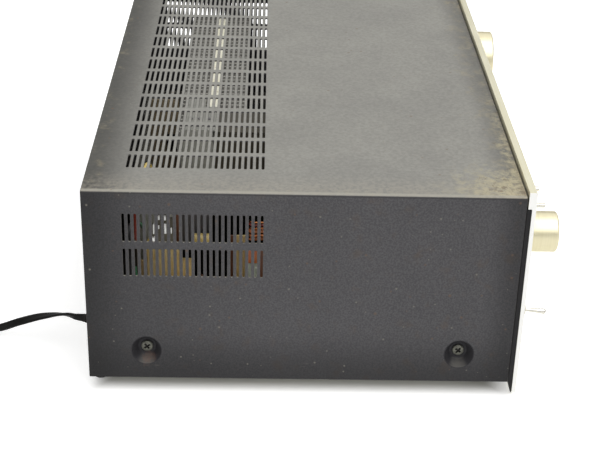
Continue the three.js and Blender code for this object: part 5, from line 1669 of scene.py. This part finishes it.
def inside_lamp(name, place, turn, width, depth):
    """A dim sheet of light that the camera doesn't see: its power is its area x pi x its level."""
    lamp = bpy.data.lights.new(name, "AREA")
    lamp.shape = "RECTANGLE"
    lamp.size, lamp.size_y = width * MM, depth * MM
    lamp.energy = INSIDE_LEVEL * math.pi * lamp.size * lamp.size_y
    holder = bpy.data.objects.new(name, lamp)
    holder.location = [v * MM for v in place]
    holder.rotation_euler = turn
    holder.visible_camera = False
    bpy.context.scene.collection.objects.link(holder)


def white_floor():
    """The floor, which is stage and no part of the object."""
    half = FLOOR_SIZE / 2
    corners = np.array([[(-half, -half), (-half, half)], [(half, -half), (half, half)]])
    flat = grid(np.concatenate([corners, np.full((2, 2, 1), -FLOOR_DROP)], axis=-1))
    mesh = bpy.data.meshes.new("white_floor")
    mesh.from_pydata((flat.points * MM).tolist(), [], flat.quads.tolist())
    mesh.materials.append(floor_surface())
    floor = bpy.data.objects.new("white_floor", mesh)
    bpy.context.scene.collection.objects.link(floor)


def lamps():
    """A broad lamp overhead, and a sheet of light under the top and by the left side."""
    lamp = bpy.data.lights.new("overhead", "SUN")
    lamp.energy = LAMP_LEVEL
    lamp.angle = LAMP_SPREAD
    holder = bpy.data.objects.new("overhead", lamp)
    holder.rotation_euler = LAMP_TILT
    bpy.context.scene.collection.objects.link(holder)
    inside_lamp("under_the_top", (0, 82, CASE_TOP - 2.5), (0, 0, 0), 390, 100)
    inside_lamp("by_the_left_side", (2.5 - HALF_WIDTH, 84, 100), (0, -math.pi / 2, 0), 60, 104)


def white_room():
    """An even white room, in which gloss sees a dark band a little above the horizon."""
    world = bpy.data.worlds.new("white_room")
    bpy.context.scene.world = world
    world.use_nodes = True
    tree = world.node_tree
    background = tree.nodes["Background"]
    path = add_node(tree, "LightPath").outputs
    shine = greatest(tree, path["Is Glossy Ray"], path["Is Transmission Ray"])
    z = add_node(tree, "SeparateXYZ", {0: add_node(tree, "TexCoord").outputs["Generated"]}).outputs["Z"]
    from_middle = math_node(tree, "ABSOLUTE", math_node(tree, "SUBTRACT", z, BAND_MIDDLE))
    sockets = {0: shine, 2: ROOM_LEVEL, 3: ramp(tree, from_middle, *BAND_EDGE)}
    level = add_node(tree, "Mix", sockets, data_type="FLOAT").outputs[0]
    background.inputs["Color"].default_value = (1, 1, 1, 1)
    tree.links.new(greatest(tree, level, path["Is Camera Ray"]), background.inputs["Strength"])


place_camera()
relief = strain_relief()
tie = cord_tie()
plug = mains_plug()
mains_cord()

cover_shell()
cover_screws()
small_bodies()
knobs()
dial_marks()
toggle_switches()
speaker_buttons()
headphone_ring()
soft_copy("rear_plate", "rear_panel", BLACK_STEEL, 0.25)
phono_jacks()
speaker_terminals()
soft_copy("outlet_plate", "ac_outlet", BLACK_PLASTIC, 0.6)
ground_post()
rear_panel_screws()
feet()
transformer()
capacitors()
board_parts()
cards()
shields()
stands()
ceramic_row()
leads()
finish_nodes()
white_floor()
lamps()
white_room()
